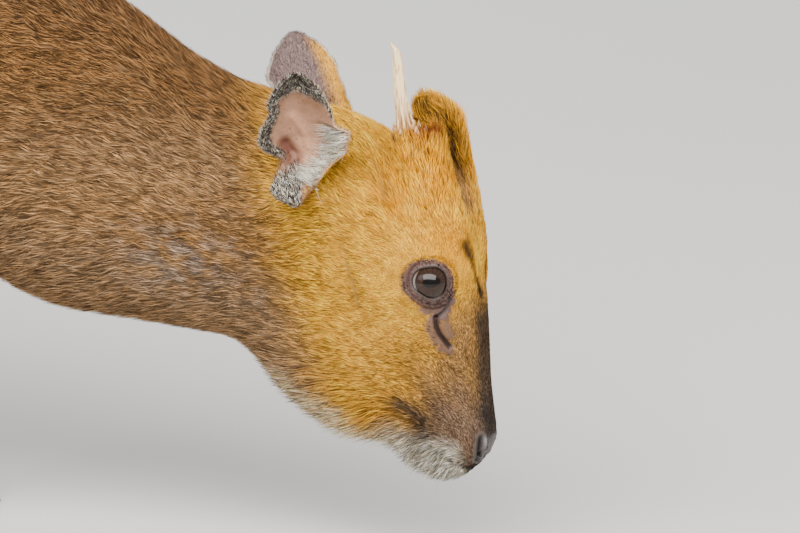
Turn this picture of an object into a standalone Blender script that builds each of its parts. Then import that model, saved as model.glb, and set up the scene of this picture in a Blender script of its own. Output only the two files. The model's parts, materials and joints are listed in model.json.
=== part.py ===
"""A life-size muntjac buck, feeding with its head down, made from solids.

Metres, +Z up. The animal faces +X and its left side is +Y. The floor is z = 0, under the soles.
The body is lofted through cross-sections, joined with the legs and made into one smooth surface,
which is then parted into head, neck, torso and legs with thin cuts.
"""

import math
import random

import bmesh
import bpy
import numpy as np
from mathutils import Matrix, Vector
from mathutils.bvhtree import BVHTree

# Driving sizes of the whole animal
GAP = 0.0003
NOSE_X = 0.365
NOSE_HEIGHT = 0.060
WITHERS_HEIGHT = 0.425
CROUP_HEIGHT = 0.470
TRUNK_HALF_WIDTH = 0.085
VOXEL = 0.0026
SKIN_SMOOTHING = 9
TRUNK_SMOOTHING = 45
CROWN_SMOOTHING = 12
SOFT_FROM_HEIGHT = 0.205
SOFT_BAND = 0.05
SOFT_TO_X = 0.17
HEAD_TRIANGLES = 2500
BODY_TRIANGLES = 4300

# Places on the head and neck are given from the lowest point of the nose: forward, sideways and up
NOSE_TIP = Vector((NOSE_X, 0.0, NOSE_HEIGHT))
FACE_OUT = Vector((0.98, 0.0, 0.20)).normalized()

# Eyes
EYE_CENTRE = (-0.0250, 0.0285, 0.1063)
EYE_RADIUS = 0.0115
EYE_AXIS = Vector((0.25, -0.95, 0.15)).normalized()
LID_THICKNESS = 0.0021
LID_OPENING_WIDE = 52.0
LID_OPENING_HIGH = 45.0
LID_EDGE = 82.0

# Pedicles, from the brow over the eye to the coronet: place and radius
PEDICLE_PATH = [
    (-0.0095, 0.0115, 0.0980, 0.0070),
    (-0.0135, 0.0140, 0.1180, 0.0105),
    (-0.0215, 0.0170, 0.1400, 0.0145),
    (-0.0290, 0.0200, 0.1640, 0.0160),
    (-0.0354, 0.0230, 0.1910, 0.0160),
]
PEDICLE_FLATTEN = 0.84
ANTLER_LENGTH = 0.047
ANTLER_RADIUS = 0.0036
ANTLER_STEPS = [
    (0.0, 0.0, 0.0),
    (-0.04, -0.01, 0.27),
    (-0.05, -0.02, 0.66),
    (-0.10, -0.03, 0.86),
    (-0.18, -0.04, 1.0),
]
ANTLER_TAPER = (1.45, 1.05, 0.95, 0.62, 0.25)
ANTLER_SET_BACK = 0.0065
RIB_COUNT = 5
RIB_RADII = [0.0019, 0.0013, 0.0006]

# The low dome and the locks over the left pedicle
CROWN_DOME = (0.0135, 0.0112, 0.0085)
CROWN_LOCK_LENGTH = 0.0125
CROWN_LOCK_WIDTH = 0.0085
CROWN_LOCK_THICKNESS = 0.0030
CROWN_LOCK_INSET = 0.0035
CROWN_LOCK_ROWS = ((1.0, 11, -0.004), (0.55, 6, 0.002))

# The full upper lip over the line of the mouth
LIP_PATH = [
    (-0.0030, 0.0075, 0.0010),
    (-0.0100, 0.0128, 0.0050),
    (-0.0175, 0.0152, 0.0095),
    (-0.0225, 0.0158, 0.0165),
    (-0.0290, 0.0168, 0.0260),
    (-0.0365, 0.0185, 0.0350),
]
LIP_RADII = [0.0030, 0.0036, 0.0038, 0.0038, 0.0036, 0.0030]

# Ears
EAR_ROOT = (-0.0950, 0.0400, 0.1600)
EAR_LENGTH = 0.0665
EAR_HALF_WIDTH = 0.0245
EAR_THICKNESS = 0.0022
EAR_DEPTH = 0.009
EAR_SUNK = 0.012
EAR_SWEEP = {-1: 0.0, 1: 0.46}
EAR_BACK_SHIFT = {-1: 0.0, 1: 0.006}
EAR_LOBE = (0.0085, 0.0032, 0.0095)
EAR_LOBE_REAR = 0.0090
EAR_LOBE_OUT = 0.0035
EAR_LOBE_UP = 0.001

# Swellings under the skin
EAR_SWELLING = (0.017, 0.011, 0.017)
EAR_SWELLING_IN = 0.007
EAR_SWELLING_DOWN = 0.008
ORBIT_SWELLING = (0.020, 0.0165, 0.0195)
ORBIT_SWELLING_IN = 0.0105
HOCK_POINT = (-0.424, 0.048, 0.166)
HOCK_SWELLING = (0.010, 0.009, 0.016)
CROWN_CREASE = (-0.040, 0.0, 0.160)
CROWN_REACH = 0.024
CROWN_STRENGTH = 1.6

# Grooves and nostrils cut into the head
MOUTH_FRONT = (-0.0045, -0.0055)
MOUTH_SIDE = [
    (-0.0080, -0.0025),
    (-0.0130, 0.0015),
    (-0.0190, 0.0045),
    (-0.0240, 0.0095),
    (-0.0280, 0.0175),
    (-0.0345, 0.0255),
    (-0.0420, 0.0320),
]
GLAND_SIDE = [(-0.0210, 0.0860), (-0.0190, 0.0790), (-0.0155, 0.0725), (-0.0130, 0.0680)]
NOSTRIL = (0.0000, 0.0078, 0.0060)
MOUTH_RADIUS = 0.0012
GLAND_RADIUS = 0.0015
NOSTRIL_RADII = (0.0040, 0.0024, 0.0052)

# Legs and feet: the pivots are the heights from which a stride swings them
FORE_PIVOT = 0.26
HIND_PIVOT = 0.33
HOOF_LENGTH = 0.030
HOOF_HEEL_SHARE = 0.36
HOOF_PROFILE = ((0.0, 1.0, 1.0), (0.35, 0.90, 1.0), (1.0, 0.60, 0.90))
HOOF_PINCH = 0.45
FETLOCK = 11
CORONET = 13
HOOF_WIDTH = 0.0115
HOOF_HEIGHT = 0.017
CLEFT = 0.0016
FORE_CUT_HEIGHT = 0.180
FORE_CUT_X = 0.045
TOE_CUT_HEIGHT = 0.150
TOE_CUT_X = 0.074
LEG_REACH = 0.2
MIDDLE_GAP = 0.001
HIND_CUT_HEIGHT = 0.219
HIND_CUT_X = -0.272

# Tail
TAIL_ROOT = Vector((-0.452, 0.0, 0.418))
TAIL_STEPS = [
    (0.004, 0.0, 0.002),
    (-0.018, 0.0, -0.008),
    (-0.033, 0.0, -0.042),
    (-0.037, 0.0, -0.082),
    (-0.036, 0.0, -0.108),
]
TAIL_HALF_DEPTHS = (0.008, 0.0085, 0.0075, 0.006, 0.003)
TAIL_HALF_WIDTHS = (0.013, 0.015, 0.017, 0.014, 0.006)
TAIL_LOCK_LEVELS = 7
TAIL_LOCK_LENGTH = 0.034
TAIL_LOCK_WIDTH = 0.010
TAIL_LOCK_THICKNESS = 0.0036
TAIL_TIP_LOCKS = 5
TAIL_TIP_LOCK_LENGTH = 0.036
TAIL_TIP_LOCK_WIDTH = 0.009

COAT_BROWN = (0.30, 0.16, 0.07, 1.0)
COAT_ORANGE = (0.62, 0.30, 0.07, 1.0)
EAR_PINK = (0.43, 0.26, 0.19, 1.0)
DARK_HAIR = (0.10, 0.06, 0.04, 1.0)
EYE_BROWN = (0.03, 0.015, 0.01, 1.0)
BONE = (0.70, 0.58, 0.42, 1.0)
HORN_BLACK = (0.04, 0.035, 0.03, 1.0)


def clear_scene():
    """Starts from an empty scene."""
    for obj in list(bpy.data.objects):
        bpy.data.objects.remove(obj, do_unlink=True)


def new_collection(name):
    """A collection linked to the scene."""
    collection = bpy.data.collections.new(name)
    bpy.context.scene.collection.children.link(collection)
    return collection


def new_material(name, colour, roughness):
    """A plain Principled material."""
    material = bpy.data.materials.new(name)
    material.use_nodes = True
    shader = material.node_tree.nodes["Principled BSDF"]
    shader.inputs["Base Color"].default_value = colour
    shader.inputs["Roughness"].default_value = roughness
    return material


def mesh_object(name, points, faces, collection):
    """An object with a mesh of these points and faces, its normals turned outwards."""
    mesh = bpy.data.meshes.new(name)
    mesh.from_pydata([tuple(p) for p in points], [], faces)
    work = bmesh.new()
    work.from_mesh(mesh)
    bmesh.ops.recalc_face_normals(work, faces=work.faces)
    work.to_mesh(mesh)
    work.free()
    obj = bpy.data.objects.new(name, mesh)
    collection.objects.link(obj)
    return obj


def from_nose(x, y, z):
    """A place given from the nose's tip, in world space."""
    return NOSE_TIP + Vector((x, y, z))


def smooth_rows(rows, count):
    """Rows read off a smooth curve through the given ones, spaced by how far the first columns move."""
    table = np.array(rows, float)
    steps = np.linalg.norm(np.diff(table[:, :4], axis=0), axis=1)
    keys = np.concatenate([[0.0], np.cumsum(np.maximum(steps, 1e-4))])
    slopes = np.gradient(table, keys, axis=0)
    where = np.linspace(0.0, keys[-1], count)
    index = np.clip(np.searchsorted(keys, where, side="right") - 1, 0, len(keys) - 2)
    span = (keys[index + 1] - keys[index])[:, None]
    t = (where - keys[index])[:, None] / span
    start = (2 * t**3 - 3 * t**2 + 1) * table[index] + (t**3 - 2 * t**2 + t) * span * slopes[index]
    end = (3 * t**2 - 2 * t**3) * table[index + 1] + (t**3 - t**2) * span * slopes[index + 1]
    return start + end


def loft(name, rings, collection):
    """A closed skin over rings of equal length, with a point in the middle of each end."""
    count = len(rings[0])
    points = [p for ring in rings for p in ring]
    faces = []
    for level in range(len(rings) - 1):
        low = level * count
        for i in range(count):
            j = (i + 1) % count
            faces.append((low + i, low + j, low + count + j, low + count + i))
    for ring_start, ring in ((0, rings[0]), (len(points) - count, rings[-1])):
        points.append(sum((Vector(p) for p in ring), Vector()) / count)
        middle = len(points) - 1
        faces += [(ring_start + i, ring_start + (i + 1) % count, middle) for i in range(count)]
    return mesh_object(name, points, faces, collection)


def body_ring(row, count=44):
    """One cross-section of the body: a superellipse whose upper and lower halves differ."""
    top = Vector((row[0], 0.0, row[1]))
    bottom = Vector((row[2], 0.0, row[3]))
    half_width, widest, upper_power, lower_power = row[4:8]
    middle = bottom.lerp(top, widest)
    points = []
    for i in range(count):
        angle = 2 * math.pi * i / count
        sine, cosine = math.sin(angle), math.cos(angle)
        power = upper_power if sine >= 0 else lower_power
        reach = (top - middle) if sine >= 0 else (bottom - middle)
        rise = abs(sine) ** (2 / power)
        spread = math.copysign(abs(cosine) ** (2 / power), cosine)
        points.append(middle + reach * rise + Vector((0.0, half_width * spread, 0.0)))
    return points


def face_row(top_x, top_z, bottom_x, bottom_z, *shape):
    """A cross-section whose top and bottom are given from the nose's tip."""
    top = from_nose(top_x, 0.0, top_z)
    bottom = from_nose(bottom_x, 0.0, bottom_z)
    return (top.x, top.z, bottom.x, bottom.z, *shape)


def body_rows():
    """Cross-sections from rump to nose: top x, z, bottom x, z, half width, level of the widest, powers."""
    wide = TRUNK_HALF_WIDTH
    trunk = [
        (-0.468, 0.392, -0.468, 0.368, 0.010, 0.5, 2.0, 2.0),
        (-0.461, 0.424, -0.461, 0.325, 0.037, 0.5, 2.0, 2.0),
        (-0.438, 0.450, -0.439, 0.284, 0.060, 0.5, 2.1, 2.0),
        (-0.394, CROUP_HEIGHT - 0.004, -0.394, 0.258, 0.073, 0.5, 2.1, 2.0),
        (-0.332, CROUP_HEIGHT + 0.001, -0.324, 0.243, 0.075, 0.5, 2.1, 2.0),
        (-0.257, 0.4665, -0.248, 0.228, 0.080, 0.45, 2.0, 2.1),
        (-0.177, 0.4560, -0.168, 0.210, wide, 0.43, 1.9, 2.1),
        (-0.100, 0.4420, -0.090, 0.198, wide, 0.43, 1.85, 2.0),
        (-0.030, WITHERS_HEIGHT + 0.003, -0.010, 0.191, 0.074, 0.45, 1.8, 1.9),
        (0.025, 0.4050, 0.030, 0.182, 0.064, 0.46, 1.8, 1.9),
    ]
    neck = [
        face_row(-0.276, 0.2960, -0.3030, 0.1000, 0.058, 0.46, 1.9, 1.9),
        face_row(-0.201, 0.2435, -0.247, 0.0720, 0.052, 0.46, 1.9, 1.9),
        face_row(-0.160, 0.2155, -0.203, 0.0665, 0.047, 0.48, 2.0, 1.9),
        face_row(-0.121, 0.2010, -0.163, 0.0625, 0.044, 0.50, 2.1, 1.9),
    ]
    head = [
        face_row(-0.0930, 0.1960, -0.1420, 0.0580, 0.0425, 0.52, 2.2, 1.85),
        face_row(-0.0660, 0.1870, -0.1310, 0.0480, 0.0420, 0.56, 2.3, 1.8),
        face_row(-0.0450, 0.1740, -0.1190, 0.0340, 0.0420, 0.60, 2.4, 1.8),
        face_row(-0.0260, 0.1560, -0.1020, 0.0190, 0.0405, 0.64, 2.4, 1.75),
        face_row(-0.0130, 0.1370, -0.0830, 0.0090, 0.0375, 0.66, 2.3, 1.75),
        face_row(-0.0060, 0.1170, -0.0660, 0.0065, 0.0335, 0.64, 2.2, 1.75),
        face_row(-0.0025, 0.0990, -0.0550, 0.0045, 0.0280, 0.60, 2.1, 1.8),
        face_row(0.0000, 0.0800, -0.0480, 0.0005, 0.0235, 0.56, 2.1, 1.9),
        face_row(0.0012, 0.0600, -0.0430, -0.0035, 0.0195, 0.52, 2.2, 2.0),
        face_row(0.0020, 0.0420, -0.0370, -0.0085, 0.0180, 0.50, 2.3, 2.1),
        face_row(0.0035, 0.0280, -0.0300, -0.0125, 0.0172, 0.50, 2.4, 2.1),
        face_row(0.0048, 0.0170, -0.0220, -0.0125, 0.0158, 0.50, 2.4, 2.1),
        face_row(0.0030, 0.0080, -0.0140, -0.0100, 0.0125, 0.50, 2.2, 2.0),
        face_row(-0.0005, 0.0015, -0.0080, -0.0060, 0.0065, 0.50, 2.0, 2.0),
    ]
    return trunk + neck + head


def limb(name, stations, collection, count=20):
    """A loft along a limb. A station is (x, y, z, half depth front to back, half width)."""
    rows = smooth_rows(stations, len(stations) * 4)
    places = rows[:, :3]
    along = np.gradient(places, axis=0)
    rings = []
    for place, direction, (depth, width) in zip(places, along, rows[:, 3:5]):
        tangent = Vector(direction).normalized()
        front = tangent.cross(Vector((0.0, 1.0, 0.0))).normalized()
        across = front.cross(tangent).normalized()
        centre = Vector(place)
        rings.append(
            [
                centre
                + front * depth * math.cos(2 * math.pi * i / count)
                + across * width * math.sin(2 * math.pi * i / count)
                for i in range(count)
            ]
        )
    return loft(name, rings, collection)


def foreleg_stations(side, stride):
    """Shoulder blade to hoof. The stride moves the foot forward and the joints above it by less."""
    rows = [
        (-0.010, 0.020, 0.382, 0.016, 0.008),
        (0.001, 0.031, 0.352, 0.032, 0.018),
        (0.013, 0.040, 0.313, 0.046, 0.0245),
        (0.015, 0.045, 0.275, 0.048, 0.0245),
        (0.002, 0.050, 0.238, 0.043, 0.023),
        (-0.007, 0.050, 0.205, 0.0290, 0.0190),
        (-0.003, 0.048, 0.172, 0.0190, 0.0145),
        (0.003, 0.046, 0.140, 0.0142, 0.0120),
        (0.005, 0.046, 0.122, 0.0136, 0.0120),
        (0.003, 0.046, 0.104, 0.0104, 0.0094),
        (0.000, 0.046, 0.076, 0.0090, 0.0082),
        (-0.003, 0.046, 0.046, 0.0118, 0.0112),
        (0.003, 0.046, 0.029, 0.0100, 0.0112),
        (0.009, 0.046, 0.014, 0.0115, 0.0128),
        (0.014, 0.046, 0.003, 0.0115, 0.0128),
    ]
    return [(x + stride * swing(z, FORE_PIVOT), side * y, z, a, b) for x, y, z, a, b in rows]


def hindleg_stations(side, stride):
    """Thigh to hoof, with the hock behind and the stifle in front."""
    rows = [
        (-0.392, 0.022, 0.430, 0.030, 0.014),
        (-0.380, 0.038, 0.395, 0.060, 0.031),
        (-0.362, 0.044, 0.340, 0.076, 0.035),
        (-0.342, 0.047, 0.290, 0.069, 0.032),
        (-0.337, 0.048, 0.252, 0.052, 0.027),
        (-0.356, 0.048, 0.218, 0.036, 0.021),
        (-0.382, 0.048, 0.188, 0.0245, 0.0160),
        (-0.405, 0.048, 0.160, 0.0185, 0.0135),
        (-0.408, 0.048, 0.138, 0.0150, 0.0120),
        (-0.401, 0.048, 0.112, 0.0112, 0.0102),
        (-0.395, 0.048, 0.080, 0.0100, 0.0092),
        (-0.392, 0.048, 0.047, 0.0124, 0.0122),
        (-0.385, 0.048, 0.029, 0.0104, 0.0120),
        (-0.378, 0.048, 0.014, 0.0118, 0.0128),
        (-0.373, 0.048, 0.003, 0.0118, 0.0128),
    ]
    return [(x + stride * swing(z, HIND_PIVOT), side * y, z, a, b) for x, y, z, a, b in rows]


def swing(height, pivot):
    """How much of a stride a joint at this height takes: all at the floor and none at the pivot."""
    return max(0.0, min(1.0, (pivot - height) / pivot))


LEGS = {
    "foreleg_right": (foreleg_stations, -1, -0.006),
    "foreleg_left": (foreleg_stations, 1, 0.040),
    "hindleg_right": (hindleg_stations, -1, 0.022),
    "hindleg_left": (hindleg_stations, 1, -0.018),
}


def swept_tube(name, points, radii, collection, count=16, flatten=1.0, steps=4):
    """A round or flattened tube through points, with a radius at each."""
    rows = [(*p, r, 0.0) for p, r in zip(points, radii)]
    table = smooth_rows(rows, len(rows) * steps)
    along = np.gradient(table[:, :3], axis=0)
    rings = []
    for row, direction in zip(table, along):
        tangent = Vector(direction).normalized()
        first = tangent.cross(Vector((0.0, 1.0, 0.0))).normalized()
        second = first.cross(tangent).normalized()
        centre = Vector(row[:3])
        rings.append(
            [
                centre
                + first * row[3] * math.cos(2 * math.pi * i / count)
                + second * row[3] * flatten * math.sin(2 * math.pi * i / count)
                for i in range(count)
            ]
        )
    return loft(name, rings, collection)


def ellipsoid(name, centre, radii, collection, segments=24, rings=14):
    """A stretched ball."""
    mesh = bpy.data.meshes.new(name)
    work = bmesh.new()
    bmesh.ops.create_uvsphere(work, u_segments=segments, v_segments=rings, radius=1.0)
    bmesh.ops.transform(
        work, matrix=Matrix.Translation(centre) @ Matrix.Diagonal((*radii, 1.0)), verts=work.verts
    )
    work.to_mesh(mesh)
    work.free()
    obj = bpy.data.objects.new(name, mesh)
    collection.objects.link(obj)
    return obj


def pedicle_path(side):
    """From the brow ridge over the eye to the coronet, with the radius along it."""
    points = [from_nose(x, side * y, z) for x, y, z, _ in PEDICLE_PATH]
    return points, [row[3] for row in PEDICLE_PATH]


def applied(obj, make):
    """Adds a modifier set up by make, applies it and removes it."""
    modifier = make(obj)
    graph = bpy.context.evaluated_depsgraph_get()
    graph.update()
    mesh = bpy.data.meshes.new_from_object(obj.evaluated_get(graph))
    obj.modifiers.remove(modifier)
    obj.data = mesh
    return obj


def boolean(obj, operation, others, solver="EXACT"):
    """Joins or cuts obj with closed meshes, which are then removed."""
    group = bpy.data.collections.new("joined")
    for other in others:
        group.objects.link(other)

    def make(target):
        modifier = target.modifiers.new("join", "BOOLEAN")
        modifier.operation = operation
        modifier.solver = solver
        modifier.operand_type = "COLLECTION"
        modifier.collection = group
        return modifier

    applied(obj, make)
    for other in others:
        bpy.data.objects.remove(other, do_unlink=True)
    bpy.data.collections.remove(group)
    return obj


def remeshed(obj, voxel, smoothing):
    """One even skin over everything in obj, then smoothed."""

    def make_skin(target):
        modifier = target.modifiers.new("skin", "REMESH")
        modifier.mode = "VOXEL"
        modifier.voxel_size = voxel
        return modifier

    def make_smooth(target):
        modifier = target.modifiers.new("smooth", "SMOOTH")
        modifier.factor = 0.5
        modifier.iterations = smoothing
        return modifier

    applied(obj, make_skin)
    return applied(obj, make_smooth)


def softened(obj, weight, iterations):
    """Smooths the places where weight, a function of a point, is over 0."""
    group = obj.vertex_groups.new(name="soft")
    for vertex in obj.data.vertices:
        group.add([vertex.index], max(0.0, min(1.0, weight(vertex.co))), "REPLACE")

    def make(target):
        modifier = target.modifiers.new("soften", "SMOOTH")
        modifier.factor = 0.5
        modifier.iterations = iterations
        modifier.vertex_group = "soft"
        return modifier

    applied(obj, make)
    obj.vertex_groups.clear()
    return obj


def trunk_weight(place):
    """Where the limbs join the trunk, and not the thin legs or the head."""
    return min((place.z - SOFT_FROM_HEIGHT) / SOFT_BAND, (SOFT_TO_X - place.x) / SOFT_BAND)


def crown_weight(place):
    """Round the feet of the pedicles."""
    crease = from_nose(*CROWN_CREASE)
    return CROWN_STRENGTH - (Vector((place.x, 0.0, place.z)) - crease).length / CROWN_REACH


def decimated(obj, triangles):
    """Collapses edges until about this many triangles are left."""
    work = bmesh.new()
    work.from_mesh(obj.data)
    bmesh.ops.triangulate(work, faces=work.faces)
    work.to_mesh(obj.data)
    work.free()

    def make(target):
        modifier = target.modifiers.new("thin", "DECIMATE")
        modifier.ratio = min(1.0, triangles / len(target.data.polygons))
        return modifier

    return applied(obj, make)


def copied(obj, name, collection):
    """A second object with its own mesh."""
    twin = bpy.data.objects.new(name, obj.data.copy())
    collection.objects.link(twin)
    return twin


def box(name, low, high, collection):
    """A box between two corners."""
    mesh = bpy.data.meshes.new(name)
    work = bmesh.new()
    bmesh.ops.create_cube(work, size=1.0)
    size = [h - l for l, h in zip(low, high)]
    middle = [(h + l) / 2 for l, h in zip(low, high)]
    bmesh.ops.transform(
        work, matrix=Matrix.Translation(middle) @ Matrix.Diagonal((*size, 1.0)), verts=work.verts
    )
    work.to_mesh(mesh)
    work.free()
    obj = bpy.data.objects.new(name, mesh)
    collection.objects.link(obj)
    return obj


def half_space(name, point, normal, collection, size=2.0):
    """A large block on the side of a plane that the normal points to."""
    obj = box(name, (-size / 2, -size / 2, 0.0), (size / 2, size / 2, size), collection)
    turn = Vector((0.0, 0.0, 1.0)).rotation_difference(Vector(normal)).to_matrix().to_4x4()
    obj.data.transform(Matrix.Translation(point) @ turn)
    return obj


def keep_largest(obj):
    """Drops every loose piece but the one with the most room inside."""
    work = bmesh.new()
    work.from_mesh(obj.data)
    bmesh.ops.triangulate(work, faces=work.faces)
    left = set(work.verts)
    islands = []
    while left:
        stack = [left.pop()]
        island = set(stack)
        while stack:
            for edge in stack.pop().link_edges:
                for vert in edge.verts:
                    if vert not in island:
                        island.add(vert)
                        left.discard(vert)
                        stack.append(vert)
        islands.append(island)

    def volume(island):
        faces = {face for vert in island for face in vert.link_faces}
        return abs(
            sum(f.verts[0].co.dot(f.verts[1].co.cross(f.verts[2].co)) for f in faces)
        )

    best = max(islands, key=volume)
    loose = [vert for vert in work.verts if vert not in best]
    bmesh.ops.delete(work, geom=loose, context="VERTS")
    bmesh.ops.remove_doubles(work, verts=work.verts, dist=1e-6)
    work.to_mesh(obj.data)
    work.free()
    return obj


def finish(obj, material, collection):
    """Gives a node its material and smooth shading and moves it into the parts' collection."""
    obj.data.materials.clear()
    obj.data.materials.append(material)
    obj.data.shade_smooth()
    for old in list(obj.users_collection):
        old.objects.unlink(obj)
    collection.objects.link(obj)
    return obj


def whole_body(work):
    """Trunk, neck, head and legs as one smooth closed surface."""
    rings = [body_ring(row) for row in smooth_rows(body_rows(), 110)]
    body = loft("body", rings, work)
    pieces = []
    for name, (stations, side, stride) in LEGS.items():
        pieces.append(limb(name + "_form", stations(side, stride), work))
    for side in (-1, 1):
        points, radii = pedicle_path(side)
        pieces.append(swept_tube("brow_form", points, radii, work, flatten=PEDICLE_FLATTEN))
        lip = [from_nose(x, side * y, z) for x, y, z in LIP_PATH]
        pieces.append(swept_tube("lip_form", lip, LIP_RADII, work, count=8))
        x, y, z = EAR_ROOT
        place = from_nose(x, side * (y - EAR_SWELLING_IN), z - EAR_SWELLING_DOWN)
        pieces.append(ellipsoid("ear_root", place, EAR_SWELLING, work))
        x, y, z = EYE_CENTRE
        place = from_nose(x, side * (y - ORBIT_SWELLING_IN), z)
        pieces.append(ellipsoid("orbit_form", place, ORBIT_SWELLING, work))
        x, y, z = HOCK_POINT
        stride = LEGS["hindleg_right" if side < 0 else "hindleg_left"][2]
        hock = Vector((x + stride * swing(z, HIND_PIVOT), side * y, z))
        pieces.append(ellipsoid("hock_form", hock, HOCK_SWELLING, work))
    boolean(body, "UNION", pieces)
    remeshed(body, VOXEL, SKIN_SMOOTHING)
    softened(body, trunk_weight, TRUNK_SMOOTHING)
    return softened(body, crown_weight, CROWN_SMOOTHING)


def eye_centre(side):
    """The middle of an eyeball."""
    x, y, z = EYE_CENTRE
    return from_nose(x, side * y, z)


def eye_frame(side):
    """The eye's own axes: outwards, forwards and up."""
    axis = Vector((EYE_AXIS.x, -side * EYE_AXIS.y, EYE_AXIS.z))
    forward = (FACE_OUT - axis * axis.dot(FACE_OUT)).normalized()
    return axis, forward, axis.cross(forward).normalized() * -side


def lid_ring(side, work, count=20):
    """Both lids as one ring on the ball, open in the shape of an almond."""
    axis, forward, up = eye_frame(side)
    centre = eye_centre(side)
    levels = [
        (0.0, EYE_RADIUS - 0.001),
        (0.0, EYE_RADIUS + LID_THICKNESS * 0.55),
        (0.12, EYE_RADIUS + LID_THICKNESS),
        (0.55, EYE_RADIUS + LID_THICKNESS),
        (1.0, EYE_RADIUS + 0.0005),
        (1.0, EYE_RADIUS - 0.001),
    ]
    points, faces = [], []
    for i in range(count):
        turn = 2 * math.pi * i / count
        opening = math.hypot(LID_OPENING_WIDE * math.cos(turn), LID_OPENING_HIGH * math.sin(turn))
        for share, radius in levels:
            angle = math.radians(opening + (LID_EDGE - opening) * share)
            sideways = forward * math.cos(turn) + up * math.sin(turn)
            points.append(centre + (axis * math.cos(angle) + sideways * math.sin(angle)) * radius)
    rows = len(levels)
    for i in range(count):
        j = (i + 1) % count
        for k in range(rows):
            m = (k + 1) % rows
            faces.append((i * rows + k, j * rows + k, j * rows + m, i * rows + m))
    return mesh_object("lids", points, faces, work)


def ball(name, centre, radius, collection, segments=24, rings=14):
    """A round ball."""
    return ellipsoid(name, centre, (radius, radius, radius), collection, segments, rings)


def surface_side(tree, x, z, side):
    """The point of the skin beside a place given from the nose's tip."""
    hit = tree.ray_cast(from_nose(x, side * 0.2, z), Vector((0.0, -side, 0.0)))
    return hit[0]


def groove(name, places, radius, work):
    """A thin round rod through surface points, to cut a groove with."""
    return swept_tube(name, places, [radius] * len(places), work, count=6, steps=1)


def mouth_cutter(tree, work):
    """One rod along the lips, from corner to corner round the front."""
    right = [surface_side(tree, x, z, -1) for x, z in MOUTH_SIDE]
    left = [Vector((p.x, -p.y, p.z)) for p in right]
    inside = from_nose(-0.012, 0.0, 0.006)
    towards = (inside - from_nose(MOUTH_FRONT[0], 0.0, MOUTH_FRONT[1])).normalized()
    front = tree.ray_cast(inside - towards * 0.1, towards)[0]
    return groove("mouth", right[::-1] + [front] + left, MOUTH_RADIUS, work)


def head_with_details(head, work):
    """Cuts the sockets, nostrils, mouth and glands, and adds the lids."""
    tree = BVHTree.FromObject(head, bpy.context.evaluated_depsgraph_get())
    cutters = [mouth_cutter(tree, work)]
    lids = []
    for side in (-1, 1):
        lids.append(lid_ring(side, work))
        line = [surface_side(tree, x, z, side) for x, z in GLAND_SIDE]
        cutters.append(groove("gland", line, GLAND_RADIUS, work))
        x, y, z = NOSTRIL
        cutters.append(ellipsoid("nostril", from_nose(x, side * y, z), NOSTRIL_RADII, work, 10, 8))
    boolean(head, "UNION", lids)
    sockets = [ball("socket", eye_centre(side), EYE_RADIUS + GAP, work, 20, 12) for side in (-1, 1)]
    boolean(head, "DIFFERENCE", cutters + sockets)
    return keep_largest(head)


def pedicle(side, fine, work):
    """The skin-covered stalk that carries an antler, parted along the crown and cut square at the coronet."""
    name = "pedicle_right" if side < 0 else "pedicle_left"
    stalk = copied(fine, name, work)
    boolean(stalk, "DIFFERENCE", [half_space("crown", CROWN_POINT + CROWN_UP * GAP / 2, -CROWN_UP, work)])
    boolean(stalk, "DIFFERENCE", [half_space("other", Vector(), Vector((0.0, -side, 0.0)), work)])
    middle, up, _, _ = coronet(side)
    boolean(stalk, "DIFFERENCE", [half_space("top", middle, up, work)])
    if side > 0:
        boolean(stalk, "UNION", pedicle_locks(side, work))
    return keep_largest(stalk)


def ear_spread(share):
    """Half the angle that the ear's section bends through: a tube at the root and a dish above."""
    return math.radians(150.0 - 92.0 * min(1.0, share / 0.45) ** 0.7)


def ear_half_width(share, rear):
    """Half the width round the ear's section. The rear edge has the cleft above the root's lobe."""
    rising = 0.62 + 0.38 * math.sin(math.pi / 2 * min(1.0, share / 0.5))
    rounding = max(0.0, 1.0 - max(0.0, (share - 0.50) / 0.50) ** 2.4) ** 0.5
    width = EAR_HALF_WIDTH * rising * max(rounding, 0.16)
    if rear:
        width *= 1.0 - 0.45 * math.exp(-(((share - 0.22) / 0.05) ** 2))
    return width


def ear_frame(side, sweep):
    """The ear's axes: up along it, out of its mouth, and towards its rear edge."""
    along = Vector((0.05 - sweep, side * 0.32, 0.92)).normalized()
    mouth = Vector((0.22 - sweep, side * 0.98, -0.30))
    mouth = (mouth - along * mouth.dot(along)).normalized()
    rear = along.cross(mouth)
    return along, mouth, rear.normalized() * (-1 if rear.x > 0 else 1)


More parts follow.
